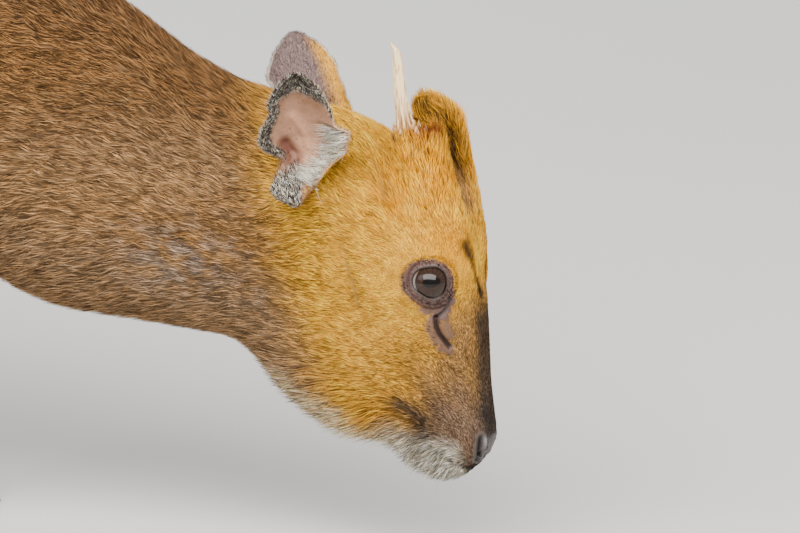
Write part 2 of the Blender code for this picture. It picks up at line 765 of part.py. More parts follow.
def ear(side, sweep, head, work, levels=16, columns=11):
    """A cupped shell that opens sideways, cut where its root meets the head."""
    name = "ear_right" if side < 0 else "ear_left"
    along, mouth, rear = ear_frame(side, sweep)
    x, y, z = EAR_ROOT
    root = from_nose(x - EAR_BACK_SHIFT[side], side * y, z)
    points, faces = [], []
    for level in range(levels):
        height = -EAR_SUNK + (EAR_LENGTH + EAR_SUNK) * math.sin(math.pi / 2 * level / (levels - 1)) ** 1.15
        share = max(0.0, height / EAR_LENGTH)
        lean = mouth * (0.005 * share - 0.006 * share**2 - EAR_DEPTH)
        for column in range(columns):
            across = 2 * column / (columns - 1) - 1
            spread = ear_spread(share)
            radius = ear_half_width(share, across > 0) / spread
            angle = spread * across
            turned = rear * radius * math.sin(angle) + mouth * radius * (1 - math.cos(angle))
            points.append(root + along * height + lean + turned)
    for level in range(levels - 1):
        for column in range(columns - 1):
            a = level * columns + column
            b, c, d = a + 1, a + columns + 1, a + columns
            faces += [(a, b, c), (a, c, d)]
    shell = mesh_object(name, points, faces, work)

    def thicken(target):
        modifier = target.modifiers.new("wall", "SOLIDIFY")
        modifier.thickness = EAR_THICKNESS
        modifier.offset = 0.0
        return modifier

    applied(shell, thicken)
    lobe = ellipsoid("lobe", (0.0, 0.0, 0.0), EAR_LOBE, work, 12, 8)
    turn = Matrix((rear, mouth, along)).transposed().to_4x4()
    place = root + rear * EAR_LOBE_REAR + mouth * EAR_LOBE_OUT + along * EAR_LOBE_UP
    lobe.data.transform(Matrix.Translation(place) @ turn)
    boolean(shell, "UNION", [lobe])
    boolean(shell, "DIFFERENCE", [inflated(head, GAP, work)])
    return keep_largest(shell)


def inflated(obj, distance, work):
    """A copy with every point moved out along its normal."""
    twin = copied(obj, obj.name + "_outer", work)
    mesh = twin.data
    shifts = [v.normal * distance for v in mesh.vertices]
    for vertex, shift in zip(mesh.vertices, shifts):
        vertex.co += shift
    return twin


def lock(root, direction, flat, shape, work):
    """A flat, tapered lock of hair, its shape given as length, width and thickness."""
    length, width, thickness = shape
    direction = direction.normalized()
    flat = (flat - direction * flat.dot(direction)).normalized()
    thin = direction.cross(flat).normalized()
    rings = []
    for share, size in ((0.0, 0.80), (0.45, 1.0), (0.82, 0.55), (1.0, 0.12)):
        centre = root + direction * length * share
        half = flat * width * size / 2
        up = thin * max(thickness * size, 0.0005) / 2
        rings.append([centre - half, centre - up, centre + half, centre + up])
    return loft("lock", rings, work)


def coronet(side):
    """The middle of a pedicle's top face, the direction out of it, and those to the front and across."""
    points, _ = pedicle_path(side)
    up = (points[4] - points[3]).normalized()
    front = (FACE_OUT - up * FACE_OUT.dot(up)).normalized()
    return points[4], up, front, up.cross(front)


def pedicle_locks(side, work):
    """A low dome with short locks on it, closed over the left pedicle, which has lost its antler."""
    rng = random.Random(7)
    middle, up, front, across = coronet(side)
    radius = PEDICLE_PATH[-1][3] - CROWN_LOCK_INSET
    crown = ellipsoid("crown", (0.0, 0.0, 0.0), CROWN_DOME, work, 14, 10)
    turn = Matrix((front, across, up)).transposed().to_4x4()
    crown.data.transform(Matrix.Translation(middle - front * 0.0015 - up * 0.001) @ turn)
    locks = [crown]
    for share, count, lift in CROWN_LOCK_ROWS:
        for i in range(count):
            angle = 2 * math.pi * (i + 0.5 * (share < 0.9)) / count
            outwards = front * math.cos(angle) + across * PEDICLE_FLATTEN * math.sin(angle)
            root = middle + outwards * radius * share + up * lift
            lean = outwards * (0.10 - 0.25 * share) - front * 0.50
            shape = (CROWN_LOCK_LENGTH * rng.uniform(0.9, 1.1), CROWN_LOCK_WIDTH, CROWN_LOCK_THICKNESS)
            locks.append(lock(root, up + lean, up.cross(outwards), shape, work))
    return locks


def antler(work):
    """What is left of the right antler: a ribbed splinter that hooks back, on a broken burr."""
    middle, up, front, across = coronet(-1)
    seat = middle + up * GAP - front * ANTLER_SET_BACK
    path = [seat + Vector(step) * ANTLER_LENGTH for step in ANTLER_STEPS]
    radii = [ANTLER_RADIUS * share for share in ANTLER_TAPER]
    spike = swept_tube("antler_right", path, radii, work, count=12, flatten=0.8, steps=2)
    ribs = []
    for i in range(RIB_COUNT):
        foot = seat + front * (0.0010 + 0.0026 * i) + across * (0.0018 * (i % 2) - 0.0009)
        rise = [foot, foot.lerp(seat, 0.40) + up * 0.0055, seat + up * 0.0150]
        ribs.append(swept_tube("rib", rise, RIB_RADII, work, count=6, steps=1))
    boolean(spike, "UNION", ribs)
    boolean(spike, "DIFFERENCE", [half_space("below", seat, -up, work)])
    return keep_largest(spike)


def tail(work):
    """A flat, drooping tail with long locks down its edges and past its tip."""
    path = [TAIL_ROOT + Vector(step) for step in TAIL_STEPS]
    rows = [(*place, depth, width) for place, depth, width in zip(path, TAIL_HALF_DEPTHS, TAIL_HALF_WIDTHS)]
    core = limb("tail", rows, work, count=16)
    rng = random.Random(11)
    locks = []
    down = Vector((0.0, 0.0, -1.0))
    for level in range(TAIL_LOCK_LEVELS):
        share = 0.22 + 0.11 * level
        centre = path[1].lerp(path[4], share)
        spread = 0.0115 * math.sin(math.pi * min(1.0, 0.25 + share * 0.75))
        for side in (-1, 1):
            root = centre + Vector((-0.004 * math.sin(math.pi * share), side * spread, 0.0))
            direction = down + Vector((-0.10, side * 0.42, 0.0))
            shape = (TAIL_LOCK_LENGTH * rng.uniform(0.9, 1.1), TAIL_LOCK_WIDTH, TAIL_LOCK_THICKNESS)
            locks.append(lock(root, direction, Vector((0.3, side, 0.0)), shape, work))
    tip_shape = (TAIL_TIP_LOCK_LENGTH, TAIL_TIP_LOCK_WIDTH, TAIL_LOCK_THICKNESS)
    for i in range(TAIL_TIP_LOCKS):
        root = path[4] + Vector((0.0, (i - 2) * 0.0030, 0.008))
        direction = down + Vector((-0.05, (i - 2) * 0.16, 0.0))
        locks.append(lock(root, direction, Vector((0.0, 1.0, 0.0)), tip_shape, work))
    boolean(core, "UNION", locks)
    return core


def hoof(name, heel, side_shift, work):
    """One half of a cloven hoof: flat sole, steep wall, and a point in front."""
    rows = []
    for share, length, width in HOOF_PROFILE:
        height = HOOF_HEIGHT * share
        ring = []
        for i in range(14):
            angle = 2 * math.pi * i / 14
            along = math.cos(angle)
            pinch = (1 - HOOF_PINCH * max(0.0, along)) * math.sin(angle)
            setback = HOOF_LENGTH * HOOF_HEEL_SHARE * (1 - length)
            x = heel.x + HOOF_LENGTH * (0.5 + 0.5 * along * length) - setback
            y = heel.y + side_shift + HOOF_WIDTH / 2 * width * pinch
            ring.append(Vector((x, y, height)))
        rows.append(ring)
    return loft(name, rows, work)


def foot_place(leg):
    """The heel of a foot on the floor, under the leg's end."""
    stations, side, stride = LEGS[leg]
    last = stations(side, stride)[CORONET]
    return Vector((last[0] - HOOF_LENGTH * HOOF_HEEL_SHARE, last[1], 0.0))


def dewclaw(name, leg, inner, work):
    """One of the two small hooves behind the fetlock."""
    stations, side, stride = LEGS[leg]
    fetlock = stations(side, stride)[FETLOCK]
    across = 0.0066 * inner
    start = Vector((fetlock[0] - 0.0085, fetlock[1] + across, fetlock[2] - 0.004))
    tip = start + Vector((-0.0065, across * 0.25, -0.0135))
    radii = [0.0042, 0.0036, 0.0012]
    return swept_tube(name, [start, start.lerp(tip, 0.55), tip], radii, work, count=8, steps=2)


def leg_blocks(leg, shrink, work):
    """Boxes round one leg, under the belly. In front they stop lower, under the chest."""
    side = LEGS[leg][1]
    y_low, y_high = (-LEG_REACH, -MIDDLE_GAP) if side < 0 else (MIDDLE_GAP, LEG_REACH)
    if leg.startswith("hind"):
        spans = [(-0.60, HIND_CUT_X, HIND_CUT_HEIGHT)]
    else:
        spans = [(-0.10, FORE_CUT_X, FORE_CUT_HEIGHT), (-0.10, TOE_CUT_X, TOE_CUT_HEIGHT)]
    floor = HOOF_HEIGHT + GAP if shrink else -0.1
    return [
        box("cell", (x_low + shrink, y_low, floor), (x_high - shrink, y_high, top - shrink), work)
        for x_low, x_high, top in spans
    ]


def parted_legs(coarse, work):
    """The legs, cut from the body by boxes under the belly."""
    legs = {}
    for name in LEGS:
        leg = copied(coarse, name, work)
        first, *others = leg_blocks(name, GAP, work)
        if others:
            boolean(first, "UNION", others)
        boolean(leg, "INTERSECT", [first])
        legs[name] = keep_largest(leg)
    return legs


def cut_between(obj, low, high, work):
    """Keeps what lies between two planes, each (point, direction towards the nose) or None."""
    cutters = []
    if low:
        cutters.append(half_space("behind", low[0] + low[1] * GAP / 2, -low[1], work))
    if high:
        cutters.append(half_space("ahead", high[0] - high[1] * GAP / 2, high[1], work))
    for cutter in cutters:
        boolean(obj, "DIFFERENCE", [cutter])
    return keep_largest(obj)


def plane_through(top, bottom):
    """The plane across the body through two points of its middle: a point and a direction forwards."""
    down = (bottom - top).normalized()
    return top.lerp(bottom, 0.5), Vector((0.0, 1.0, 0.0)).cross(down) * -1


NECK_ROOT = plane_through(from_nose(-0.276, 0.0, 0.296), from_nose(-0.300, 0.0, 0.096))
NECK_END = plane_through(from_nose(-0.117, 0.0, 0.200), from_nose(-0.152, 0.0, 0.061))
CROWN_POINT = from_nose(-0.0510, 0.0, 0.1805)
CROWN_UP = Vector((0.617, 0.0, 0.787)).normalized()


def build():
    """Makes every node and stands the animal on its own footprint's middle."""
    clear_scene()
    parts = new_collection("muntjac")
    work = new_collection("work")
    brown = new_material("brown_coat", COAT_BROWN, 0.8)
    orange = new_material("orange_coat", COAT_ORANGE, 0.8)
    pink = new_material("ear_skin", EAR_PINK, 0.7)
    dark = new_material("dark_hair", DARK_HAIR, 0.8)
    eye_material = new_material("eye", EYE_BROWN, 0.1)
    bone = new_material("bone", BONE, 0.5)
    horn = new_material("hoof", HORN_BLACK, 0.4)

    body = whole_body(work)
    fine = copied(body, "fine", work)
    boolean(fine, "DIFFERENCE", [half_space("behind", NECK_END[0] - NECK_END[1] * 0.02, -NECK_END[1], work)])
    decimated(fine, HEAD_TRIANGLES)
    coarse = decimated(body, BODY_TRIANGLES)

    legs = parted_legs(coarse, work)
    torso = copied(coarse, "torso", work)
    cut_between(torso, None, NECK_ROOT, work)
    for name in LEGS:
        for block in leg_blocks(name, 0.0, work):
            boolean(torso, "DIFFERENCE", [block])
    keep_largest(torso)
    neck = cut_between(copied(coarse, "neck", work), NECK_ROOT, NECK_END, work)
    head = cut_between(copied(fine, "head", work), NECK_END, None, work)
    boolean(head, "DIFFERENCE", [half_space("crown", CROWN_POINT - CROWN_UP * GAP / 2, CROWN_UP, work)])
    keep_largest(head)
    plain_head = copied(head, "plain_head", work)
    head_with_details(head, work)

    finish(head, orange, parts)
    finish(neck, brown, parts)
    finish(torso, brown, parts)
    for leg in legs.values():
        finish(leg, dark, parts)
    for side in (-1, 1):
        finish(pedicle(side, fine, work), orange, parts)
        finish(ear(side, EAR_SWEEP[side], plain_head, work), pink, parts)
        name = "eye_right" if side < 0 else "eye_left"
        finish(ball(name, eye_centre(side), EYE_RADIUS, work, 20, 12), eye_material, parts)
    finish(antler(work), bone, parts)

    rear = tail(work)
    boolean(rear, "DIFFERENCE", [inflated(torso, GAP, work)])
    finish(keep_largest(rear), brown, parts)

    for leg in LEGS:
        heel = foot_place(leg)
        side = LEGS[leg][1]
        for place, inner in (("outer", side), ("inner", -side)):
            shift = inner * (HOOF_WIDTH + CLEFT) / 2
            finish(hoof(f"{leg}_hoof_{place}", heel, shift, work), horn, parts)
            claw = dewclaw(f"{leg}_dewclaw_{place}", leg, inner, work)
            boolean(claw, "DIFFERENCE", [inflated(legs[leg], GAP, work)])
            finish(keep_largest(claw), horn, parts)

    for helper in list(work.objects):
        bpy.data.objects.remove(helper, do_unlink=True)
    bpy.data.collections.remove(work)
    stand_on_footprint(parts)


def stand_on_footprint(parts):
    """Moves every node so that the origin is under the middle of the whole."""
    corners = np.array([v.co for obj in parts.objects for v in obj.data.vertices])
    low, high = corners.min(axis=0), corners.max(axis=0)
    shift = Vector((-(low[0] + high[0]) / 2, -(low[1] + high[1]) / 2, -low[2]))
    for obj in parts.objects:
        obj.data.transform(Matrix.Translation(shift))


build()
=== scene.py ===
"""A life-size muntjac with its head low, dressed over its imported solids.

The solids give the size and the stance. One skin goes over all the flesh, a little inside the solids, and
the coat is planted on it in tufts of solid mesh that follow the lie of the hair out to where the solids
end. Lids, eyes, ears, antler and hooves are pieces of their own.

A place "from the nose" is in millimetres from the nose's tip: x forwards, y out from the middle to either
side, z up.
"""

import json
import math

import bmesh
import bpy
import numpy as np
from mathutils import Matrix, Vector
from mathutils.bvhtree import BVHTree

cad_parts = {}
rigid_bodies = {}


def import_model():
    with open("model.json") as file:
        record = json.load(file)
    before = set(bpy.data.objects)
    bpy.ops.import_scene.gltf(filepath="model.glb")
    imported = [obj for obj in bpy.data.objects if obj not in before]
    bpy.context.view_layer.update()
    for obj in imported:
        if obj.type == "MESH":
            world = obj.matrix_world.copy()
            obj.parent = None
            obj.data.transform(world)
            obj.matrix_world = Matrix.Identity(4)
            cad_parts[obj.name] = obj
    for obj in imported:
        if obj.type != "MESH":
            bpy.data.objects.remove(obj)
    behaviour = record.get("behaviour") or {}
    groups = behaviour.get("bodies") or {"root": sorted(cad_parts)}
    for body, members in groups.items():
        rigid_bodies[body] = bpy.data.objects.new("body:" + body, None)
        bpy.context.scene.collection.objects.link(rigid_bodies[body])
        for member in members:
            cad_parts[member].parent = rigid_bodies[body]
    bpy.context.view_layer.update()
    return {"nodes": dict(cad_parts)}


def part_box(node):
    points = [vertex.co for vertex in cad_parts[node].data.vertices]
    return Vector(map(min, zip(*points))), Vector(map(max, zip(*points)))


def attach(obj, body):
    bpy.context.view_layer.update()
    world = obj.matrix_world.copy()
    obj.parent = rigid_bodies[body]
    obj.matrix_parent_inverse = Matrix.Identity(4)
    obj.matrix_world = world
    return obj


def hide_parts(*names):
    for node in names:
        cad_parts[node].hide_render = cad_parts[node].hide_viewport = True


bl_info = {
    "name": "Muntjac",
    "version": (1, 0, 0),
    "blender": (4, 5, 0),
    "location": "View3D > Sidebar > Muntjac",
    "description": "Skin, coat, eyes, ears, antler and hooves of a life-size muntjac",
    "category": "Add Mesh",
}

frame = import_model()

MM = 0.001
HAIR_ROUGHNESS = 0.62
PATCH_SIZE = 0.003
FLOOR_HALF = 7.0
TRUNK_MIDDLE = -545
LEGS_MIDDLE = -560
WHISKER_REACH = 6.0

# Where the random draws of each kind of hair start
SEEDS = {
    **{"head": 10, "lids": 15, "neck": 20, "fore": 35, "hind": 30, "legs": 50, "ears": 70},
    **{"whiskers": 80, "chin_whiskers": 85, "lashes": 90},
}
NOSE_TIP = np.array((0.4278, 0.0, 0.0600))
SIDES = {"right": -1, "left": 1}
LEGS = ("foreleg_left", "foreleg_right", "hindleg_left", "hindleg_right")
FLESH = ("head", "neck", "torso", "tail", "pedicle_left", "pedicle_right", *LEGS)
HOOF_WORDS = ("hoof", "dewclaw")

# The eye, from the nose, and its opening as half angles seen from the ball's middle
EYE_CENTRE = (-25.0, 28.5, 106.3)
EYE_RADIUS = 11.5
EYE_AXIS = (0.25, 0.95, 0.15)
FACE_OUT = (0.98, 0.0, 0.20)
OPENING_TURNS = (0, 38, 88, 141, 180, 214, 262, 300, 331)
OPENING_HALVES = (51, 54, 43, 56, 54, 38, 44, 55, 50)
LID_TURNS = (0, 60, 100, 150, 200, 250, 300, 330)
LID_REACHES = (4.0, 4.2, 5.0, 6.2, 6.6, 6.2, 6.6, 4.8)

# The lid: shells as degrees beyond the opening and rise over the ball, then steps out and rise over the skin
LID_SHELLS = [(3.0, -1.0), (0.0, 0.05), (-0.3, 0.55), (0.9, 1.15), (4.0, 1.5), (9.0, 1.7), (13.0, 1.8)]
LID_STEPS = [(0.8, -0.75), (1.6, 0.30), (2.6, 0.35), (3.5, 0.0), (4.5, -0.9), (5.6, -2.0)]
PUPIL_WIDE = math.radians(25.0)
PUPIL_HIGH = math.radians(15.0)
CORNEA_RISE = 0.75

# Lines on one side of the head, from the nose
GLAND_SLIT = [
    (-20.9, 31.6, 87.1),
    (-21.0, 30.4, 82.1),
    (-19.7, 29.0, 77.7),
    (-17.3, 26.4, 73.4),
    (-14.9, 24.8, 69.4),
]
GLAND_OUT = (0.45, 0.89, 0.0)
MOUTH_OUT = (0.2, 0.9, -0.4)
NOSTRIL_OUT = (0.8, 0.6, 0.0)
GLAND_CREASE = [(-13.6, 30.5, 99.5), (-14.3, 28.6, 94.0), (-16.9, 29.4, 90.1), (-20.4, 31.4, 87.3)]
GLAND_LIP = [
    (-23.4, 32.7, 85.6),
    (-23.7, 32.2, 82.0),
    (-22.6, 31.2, 78.0),
    (-20.6, 29.2, 73.2),
    (-18.2, 27.0, 69.4),
    (-14.8, 24.4, 66.6),
]
GLAND_BULGE = [(-16.6, 28.6, 86.5), (-16.6, 27.9, 81.9), (-14.9, 25.9, 77.0)]
UNDER_LID = [(-25.0, 33.4, 93.5), (-19.0, 31.2, 92.4)]
MOUTH = [
    (-3.5, 0.0, -5.5),
    (-8.0, 11.0, -2.5),
    (-13.0, 15.0, 1.5),
    (-19.0, 16.5, 4.5),
    (-24.0, 17.5, 9.5),
    (-28.0, 18.0, 17.5),
    (-34.5, 20.0, 25.5),
    (-42.0, 23.0, 32.0),
]
LIP_HAIR = [(-27.3, 17.4, 11.5), (-21.8, 16.6, 7.0), (-17.0, 15.5, 3.6), (-11.5, 14.6, 0.8)]
MOUTH_PATCH = [(-42.1, 23.4, 33.3), (-36.8, 22.0, 29.5), (-32.0, 20.0, 24.5), (-30.4, 17.9, 16.7)]
NOSTRIL = [(0.6, 12.9, 15.4), (-0.8, 11.8, 9.0), (-2.4, 10.0, 2.6)]
NOSTRIL_RIM = [(2.4, 10.8, 14.5), (1.2, 8.4, 8.5), (-0.6, 6.2, 4.0)]
BROW_LINE = [
    (-6.4, 20.2, 124.8),
    (-5.2, 18.6, 119.7),
    (-3.4, 15.3, 113.5),
    (-3.0, 11.9, 106.7),
    (-2.8, 7.6, 100.0),
    (-2.0, 5.3, 93.5),
]
INNER_HAIR = [
    (-43.0, 14.0, 192.0),
    (-36.0, 11.5, 190.5),
    (-27.5, 10.2, 185.5),
    (-24.0, 9.7, 175.0),
    (-20.2, 8.6, 163.0),
]
INNER_PINK = [(-19.0, 8.0, 156.0), (-15.3, 7.4, 148.8), (-11.9, 7.4, 140.0)]
PEDICLE_RIM = [(-48.0, 25.5, 187.0), (-45.5, 30.0, 182.0)]
PEDICLE_CREASE = [(-51.5, 23.5, 176.0), (-50.2, 29.5, 163.0), (-48.0, 32.5, 153.0)]
CHEEK_CREASE = [(-68.8, 41.5, 126.7), (-66.5, 41.5, 117.8), (-64.4, 41.0, 108.9), (-60.5, 39.1, 91.9)]

# What is left of the burr and the blood beside it, on the right: each chip's place, width and height
BURR_CHIPS = [
    ((-35.0, -27.5, 192.0), 3.2, 5.6),
    ((-31.8, -26.6, 191.6), 2.6, 5.6),
    ((-31.4, -31.0, 190.2), 2.8, 4.6),
    ((-27.6, -28.6, 190.8), 2.2, 4.4),
    ((-41.0, -31.0, 189.6), 2.6, 4.6),
    ((-45.0, -26.0, 189.6), 2.4, 4.4),
]
BURR_STAIN = [(-31.0, 31.0, 187.5), (-24.5, 30.0, 188.0), (-20.2, 26.5, 188.0), (-19.0, 24.0, 187.0)]

# The tail's middle line, as its place from front to back at heights
TAIL_HEIGHTS = (250, 276, 316, 350, 358)
TAIL_MIDDLES = (-848, -849, -845, -830, -808)

# Where whiskers stand
WHISKER_BED = [(-12.0, 16.0, 22.0), (-20.0, 20.0, 28.0), (-30.0, 22.0, 34.0)]
CHIN_BED = [(-22.0, 13.0, -1.0), (-38.0, 12.0, 3.0)]

# Fine forms of the head: a line, the width of the bell round it and its rise, in mm
FORMS = (
    (GLAND_BULGE, 4.6, 1.5),
    (GLAND_LIP, 2.2, 1.3),
    (GLAND_SLIT, 1.2, -2.4),
    (GLAND_CREASE, 1.2, -1.9),
    (UNDER_LID, 3.0, 0.5),
    (LIP_HAIR, 3.0, 0.7),
    (MOUTH, 1.1, -2.4),
    (NOSTRIL_RIM, 2.2, 1.3),
    (NOSTRIL, 1.5, -3.0),
    (CHEEK_CREASE, 2.4, -0.8),
    (PEDICLE_CREASE, 3.0, -1.2),
    (BROW_LINE, 2.0, -0.7),
    ([(-1.0, 0.0, 101.0), (-1.0, 0.0, 97.0)], 10.0, 1.4),
)

# The ear's outline from lobe to tip: half widths in mm of its front and rear edge, at shares of its length
EAR_LEVELS = (
    *(0.08, 0.095, 0.12, 0.16, 0.24, 0.31, 0.375, 0.41, 0.49),
    *(0.565, 0.60, 0.68, 0.745, 0.81, 0.90, 0.97, 1.0),
)
EAR_FRONT = (-2.0, 1.8, 3.6, 6.0, 11.5, 18.5, 24.0, 26.0, 27.5, 27.8, 20.8, 19.0, 17.6, 15.6, 11.8, 6.6, 1.5)
EAR_REAR = (4.5, 9.0, 12.8, 15.0, 13.6, 8.0, 14.6, 19.0, 21.3, 19.8, 17.6, 14.9, 15.6, 14.2, 10.2, 5.0, 1.5)
EAR_RIDGE = [(38.0, 2.6), (27.0, -3.3), (18.0, -5.6), (8.0, -3.0)]
EAR_CANAL = [(19.0, 8.0), (11.0, 3.0), (5.0, 0.0)]
EAR_SUNK = 12.4
EAR_DEPTH_LEVELS = (0.0, 0.15, 0.30, 0.45, 0.70, 1.0)
EAR_DEPTHS = (-5.0, -5.0, 6.0, 10.0, 8.0, 4.0)
FLANGE_HAIR = (8.0, 16.0)
RIM_HAIR = (1.8, 3.2)

# The antler's radius, as shares of the setting, at shares of its height
ANTLER_LEVELS = (0, 0.03, 0.08, 0.16, 0.28, 0.5, 0.75, 0.88, 0.96, 1.0)
ANTLER_BODY = (1.75, 1.62, 1.48, 1.30, 1.15, 1.02, 0.88, 0.66, 0.46, 0.14)

# How the coat lies: place from the nose, direction of the hair, length and width in mm, lift in degrees
COMB = [
    ((2, 4, 8), (-0.1, 0.3, 1.0), 1.6, 0.55, 12),
    ((2, 0, 40), (-0.15, 0.1, 1.0), 2.6, 0.60, 10),
    ((-2, 4, 75), (-0.15, 0.1, 1.0), 3.2, 0.65, 10),
    ((-8, 6, 110), (-0.25, 0.1, 1.0), 4.2, 0.70, 10),
    ((-12, 8, 140), (-0.3, 0.0, 1.0), 5.5, 0.80, 12),
    ((-10, 17, 20), (-0.55, 0.1, 0.85), 2.4, 0.60, 10),
    ((-22, 20, 40), (-0.75, 0.1, 0.6), 3.2, 0.65, 10),
    ((-18, 26, 62), (-0.7, 0.1, 0.7), 3.2, 0.65, 10),
    ((-10, 24, 92), (-0.2, 0.1, 1.0), 3.0, 0.60, 10),
    ((-16, 28, 80), (-0.5, 0.1, 0.9), 1.6, 0.42, 14),
    ((-22, 33, 91), (-0.9, 0.1, -0.2), 1.8, 0.42, 14),
    ((-26, 33, 76), (-0.9, 0.1, 0.3), 3.0, 0.55, 12),
    ((-42, 28, 60), (-1.0, 0.1, 0.25), 5.0, 0.75, 10),
    ((-46, 36, 92), (-1.0, 0.1, 0.15), 4.6, 0.75, 9),
    ((-25, 31, 118.5), (-0.4, 0.1, 1.0), 1.7, 0.40, 14),
    ((-37, 36, 107), (-1.0, 0.1, 0.2), 1.7, 0.40, 14),
    ((-31, 36, 96), (-0.9, 0.1, -0.5), 1.7, 0.40, 14),
    ((-12.5, 27, 110), (0.3, 0.0, 1.0), 1.7, 0.40, 14),
    ((-25, 34, 128), (-0.5, 0.1, 1.0), 4.2, 0.70, 10),
    ((-26, 30, 150), (-0.2, 0.0, 1.0), 6.0, 0.80, 10),
    ((-34, 34, 180), (-0.15, 0.0, 1.0), 7.0, 0.80, 13),
    ((-24, 8, 178), (-0.55, 0.1, 0.9), 10.5, 0.70, 24),
    ((-60, 38, 125), (-1.0, 0.1, 0.3), 6.0, 0.80, 9),
    ((-62, 36, 150), (-0.9, 0.0, 0.6), 7.0, 0.85, 10),
    ((-66, 4, 172), (-1.0, 0.0, 0.45), 8.0, 0.95, 14),
    ((-100, 4, 205), (-1.0, 0.0, 0.35), 10.0, 1.15, 14),
    ((-92, 42, 140), (-0.9, 0.2, -0.1), 8.0, 0.95, 10),
    ((-85, 30, 85), (-1.0, 0.0, 0.12), 8.0, 0.95, 10),
    ((-35, 12, 4), (-0.8, 0.1, -0.6), 12.0, 0.75, 34),
    ((-20, 13, 0), (-0.7, 0.2, -0.7), 5.5, 0.60, 32),
    ((-60, 8, 18), (-0.95, 0.1, -0.35), 15.0, 0.90, 30),
    ((-95, 8, 36), (-1.0, 0.1, -0.2), 12.0, 1.0, 22),
    ((-130, 10, 58), (-1.0, 0.0, 0.1), 10.0, 0.95, 16),
    ((-150, 4, 240), (-0.85, 0.0, 0.5), 9.5, 0.95, 17),
    ((-165, 50, 170), (-0.95, 0.0, 0.3), 8.5, 0.85, 14),
    ((-215, 4, 280), (-0.9, 0.0, 0.45), 11.0, 1.05, 17),
    ((-225, 58, 205), (-0.95, 0.0, 0.15), 10.0, 0.95, 14),
    ((-220, 20, 90), (-1.0, 0.0, -0.05), 11.0, 1.05, 15),
    ((-330, 78, 200), (-0.85, 0.0, -0.45), 13.0, 1.6, 13),
    ((-320, 4, 335), (-1.0, 0.0, 0.2), 14.0, 1.7, 15),
    ((-310, 20, 110), (-0.6, 0.1, -0.8), 13.0, 1.6, 15),
    ((-540, 4, 372), (-1.0, 0.0, 0.02), 16.0, 1.9, 14),
    ((-540, 84, 270), (-0.85, 0.0, -0.5), 15.0, 1.8, 13),
    ((-540, 20, 105), (-1.0, 0.0, -0.1), 15.0, 1.9, 15),
    ((-740, 40, 385), (-0.9, 0.1, -0.35), 15.0, 1.9, 14),
    ((-740, 76, 270), (-0.5, 0.0, -0.85), 14.0, 1.8, 13),
    ((-810, 20, 300), (-0.45, 0.3, -0.85), 14.0, 1.8, 15),
    ((-365, 50, 80), (-0.25, 0.0, -1.0), 10.0, 1.7, 11),
    ((-350, 48, 0), (-0.1, 0.0, -1.0), 6.0, 1.2, 10),
    ((-345, 48, -50), (0.1, 0.0, -1.0), 4.5, 1.0, 12),
    ((-730, 55, 130), (-0.3, 0.0, -1.0), 13.0, 2.0, 11),
    ((-775, 48, 50), (-0.15, 0.0, -1.0), 8.0, 1.4, 11),
    ((-745, 48, -10), (0.1, 0.0, -1.0), 6.0, 1.2, 10),
    ((-735, 48, -50), (0.15, 0.0, -1.0), 4.5, 1.0, 12),
    ((-845, 4, 350), (-0.7, 0.1, -0.7), 14.0, 1.5, 14),
    ((-860, 10, 290), (-0.05, 0.3, -1.0), 18.0, 1.6, 14),
    ((-860, 6, 235), (0.0, 0.15, -1.0), 20.0, 1.6, 12),
]


def unit(vectors):
    """The vectors, each divided by its length."""
    return vectors / np.maximum(np.linalg.norm(vectors, axis=-1, keepdims=True), 1e-12)


def ramp(value, low, high):
    """0 below low, 1 above high, and a smooth S between them."""
    share = np.clip((value - low) / (high - low), 0.0, 1.0)
    return share * share * (3.0 - 2.0 * share)


def bump(distance, width):
    """A bell over distance: 1 at nothing, a third at width."""
    return np.exp(-((distance / width) ** 2))


def from_nose(points):
    """Places from the nose, in millimetres, with y counted out to either side."""
    places = (points - NOSE_TIP) / MM
    places[:, 1] = np.abs(places[:, 1])
    return places


def along_head(places):
    """How far ahead each place lies from the nose, on levels that lean as the back of the head does."""
    return places[:, 0] + 0.25 * (places[:, 2] - 100)


def waves(places, size, seed, count=14):
    """Smooth noise between about -1 and 1: a mean of sine waves, about size apart, in directions drawn from
    the seed.
    """
    rng = np.random.default_rng(seed)
    turns = unit(rng.normal(size=(3, count)).T).T * (2 * math.pi / size) * rng.uniform(0.6, 1.6, count)
    return np.sin(places @ turns + rng.uniform(0, 2 * math.pi, count)).sum(1) / math.sqrt(count)


def path_distance(places, path):
    """Distance of each place from a path of straight runs, the least over the runs."""
    path = np.array(path, float)
    least = np.full(len(places), np.inf)
    for start, end in zip(path[:-1], path[1:]):
        run = end - start
        share = np.clip((places - start) @ run / (run @ run), 0.0, 1.0)
        least = np.minimum(least, np.linalg.norm(places - start - share[:, None] * run, axis=1))
    return least


def cut_distance(places, path, outwards, depth=2.4):
    """Distance from the walls of a cut that goes straight in from a line on the skin: the least over three
    depths.
    """
    line, inwards = np.array(path, float), -unit(np.array(outwards, float))
    levels = (0.0, depth / 2, depth)
    return np.min([path_distance(places, line + inwards * level) for level in levels], axis=0)


def mixed(first, second, share):
    """Rows between two colours or rows of colours."""
    share = np.asarray(share)[..., None]
    return np.asarray(first) * (1 - share) + np.asarray(second) * share


def split_quads(quads):
    """Two triangles for each quad, alike in their turn."""
    return np.concatenate([quads[:, [0, 1, 2]], quads[:, [0, 2, 3]]])


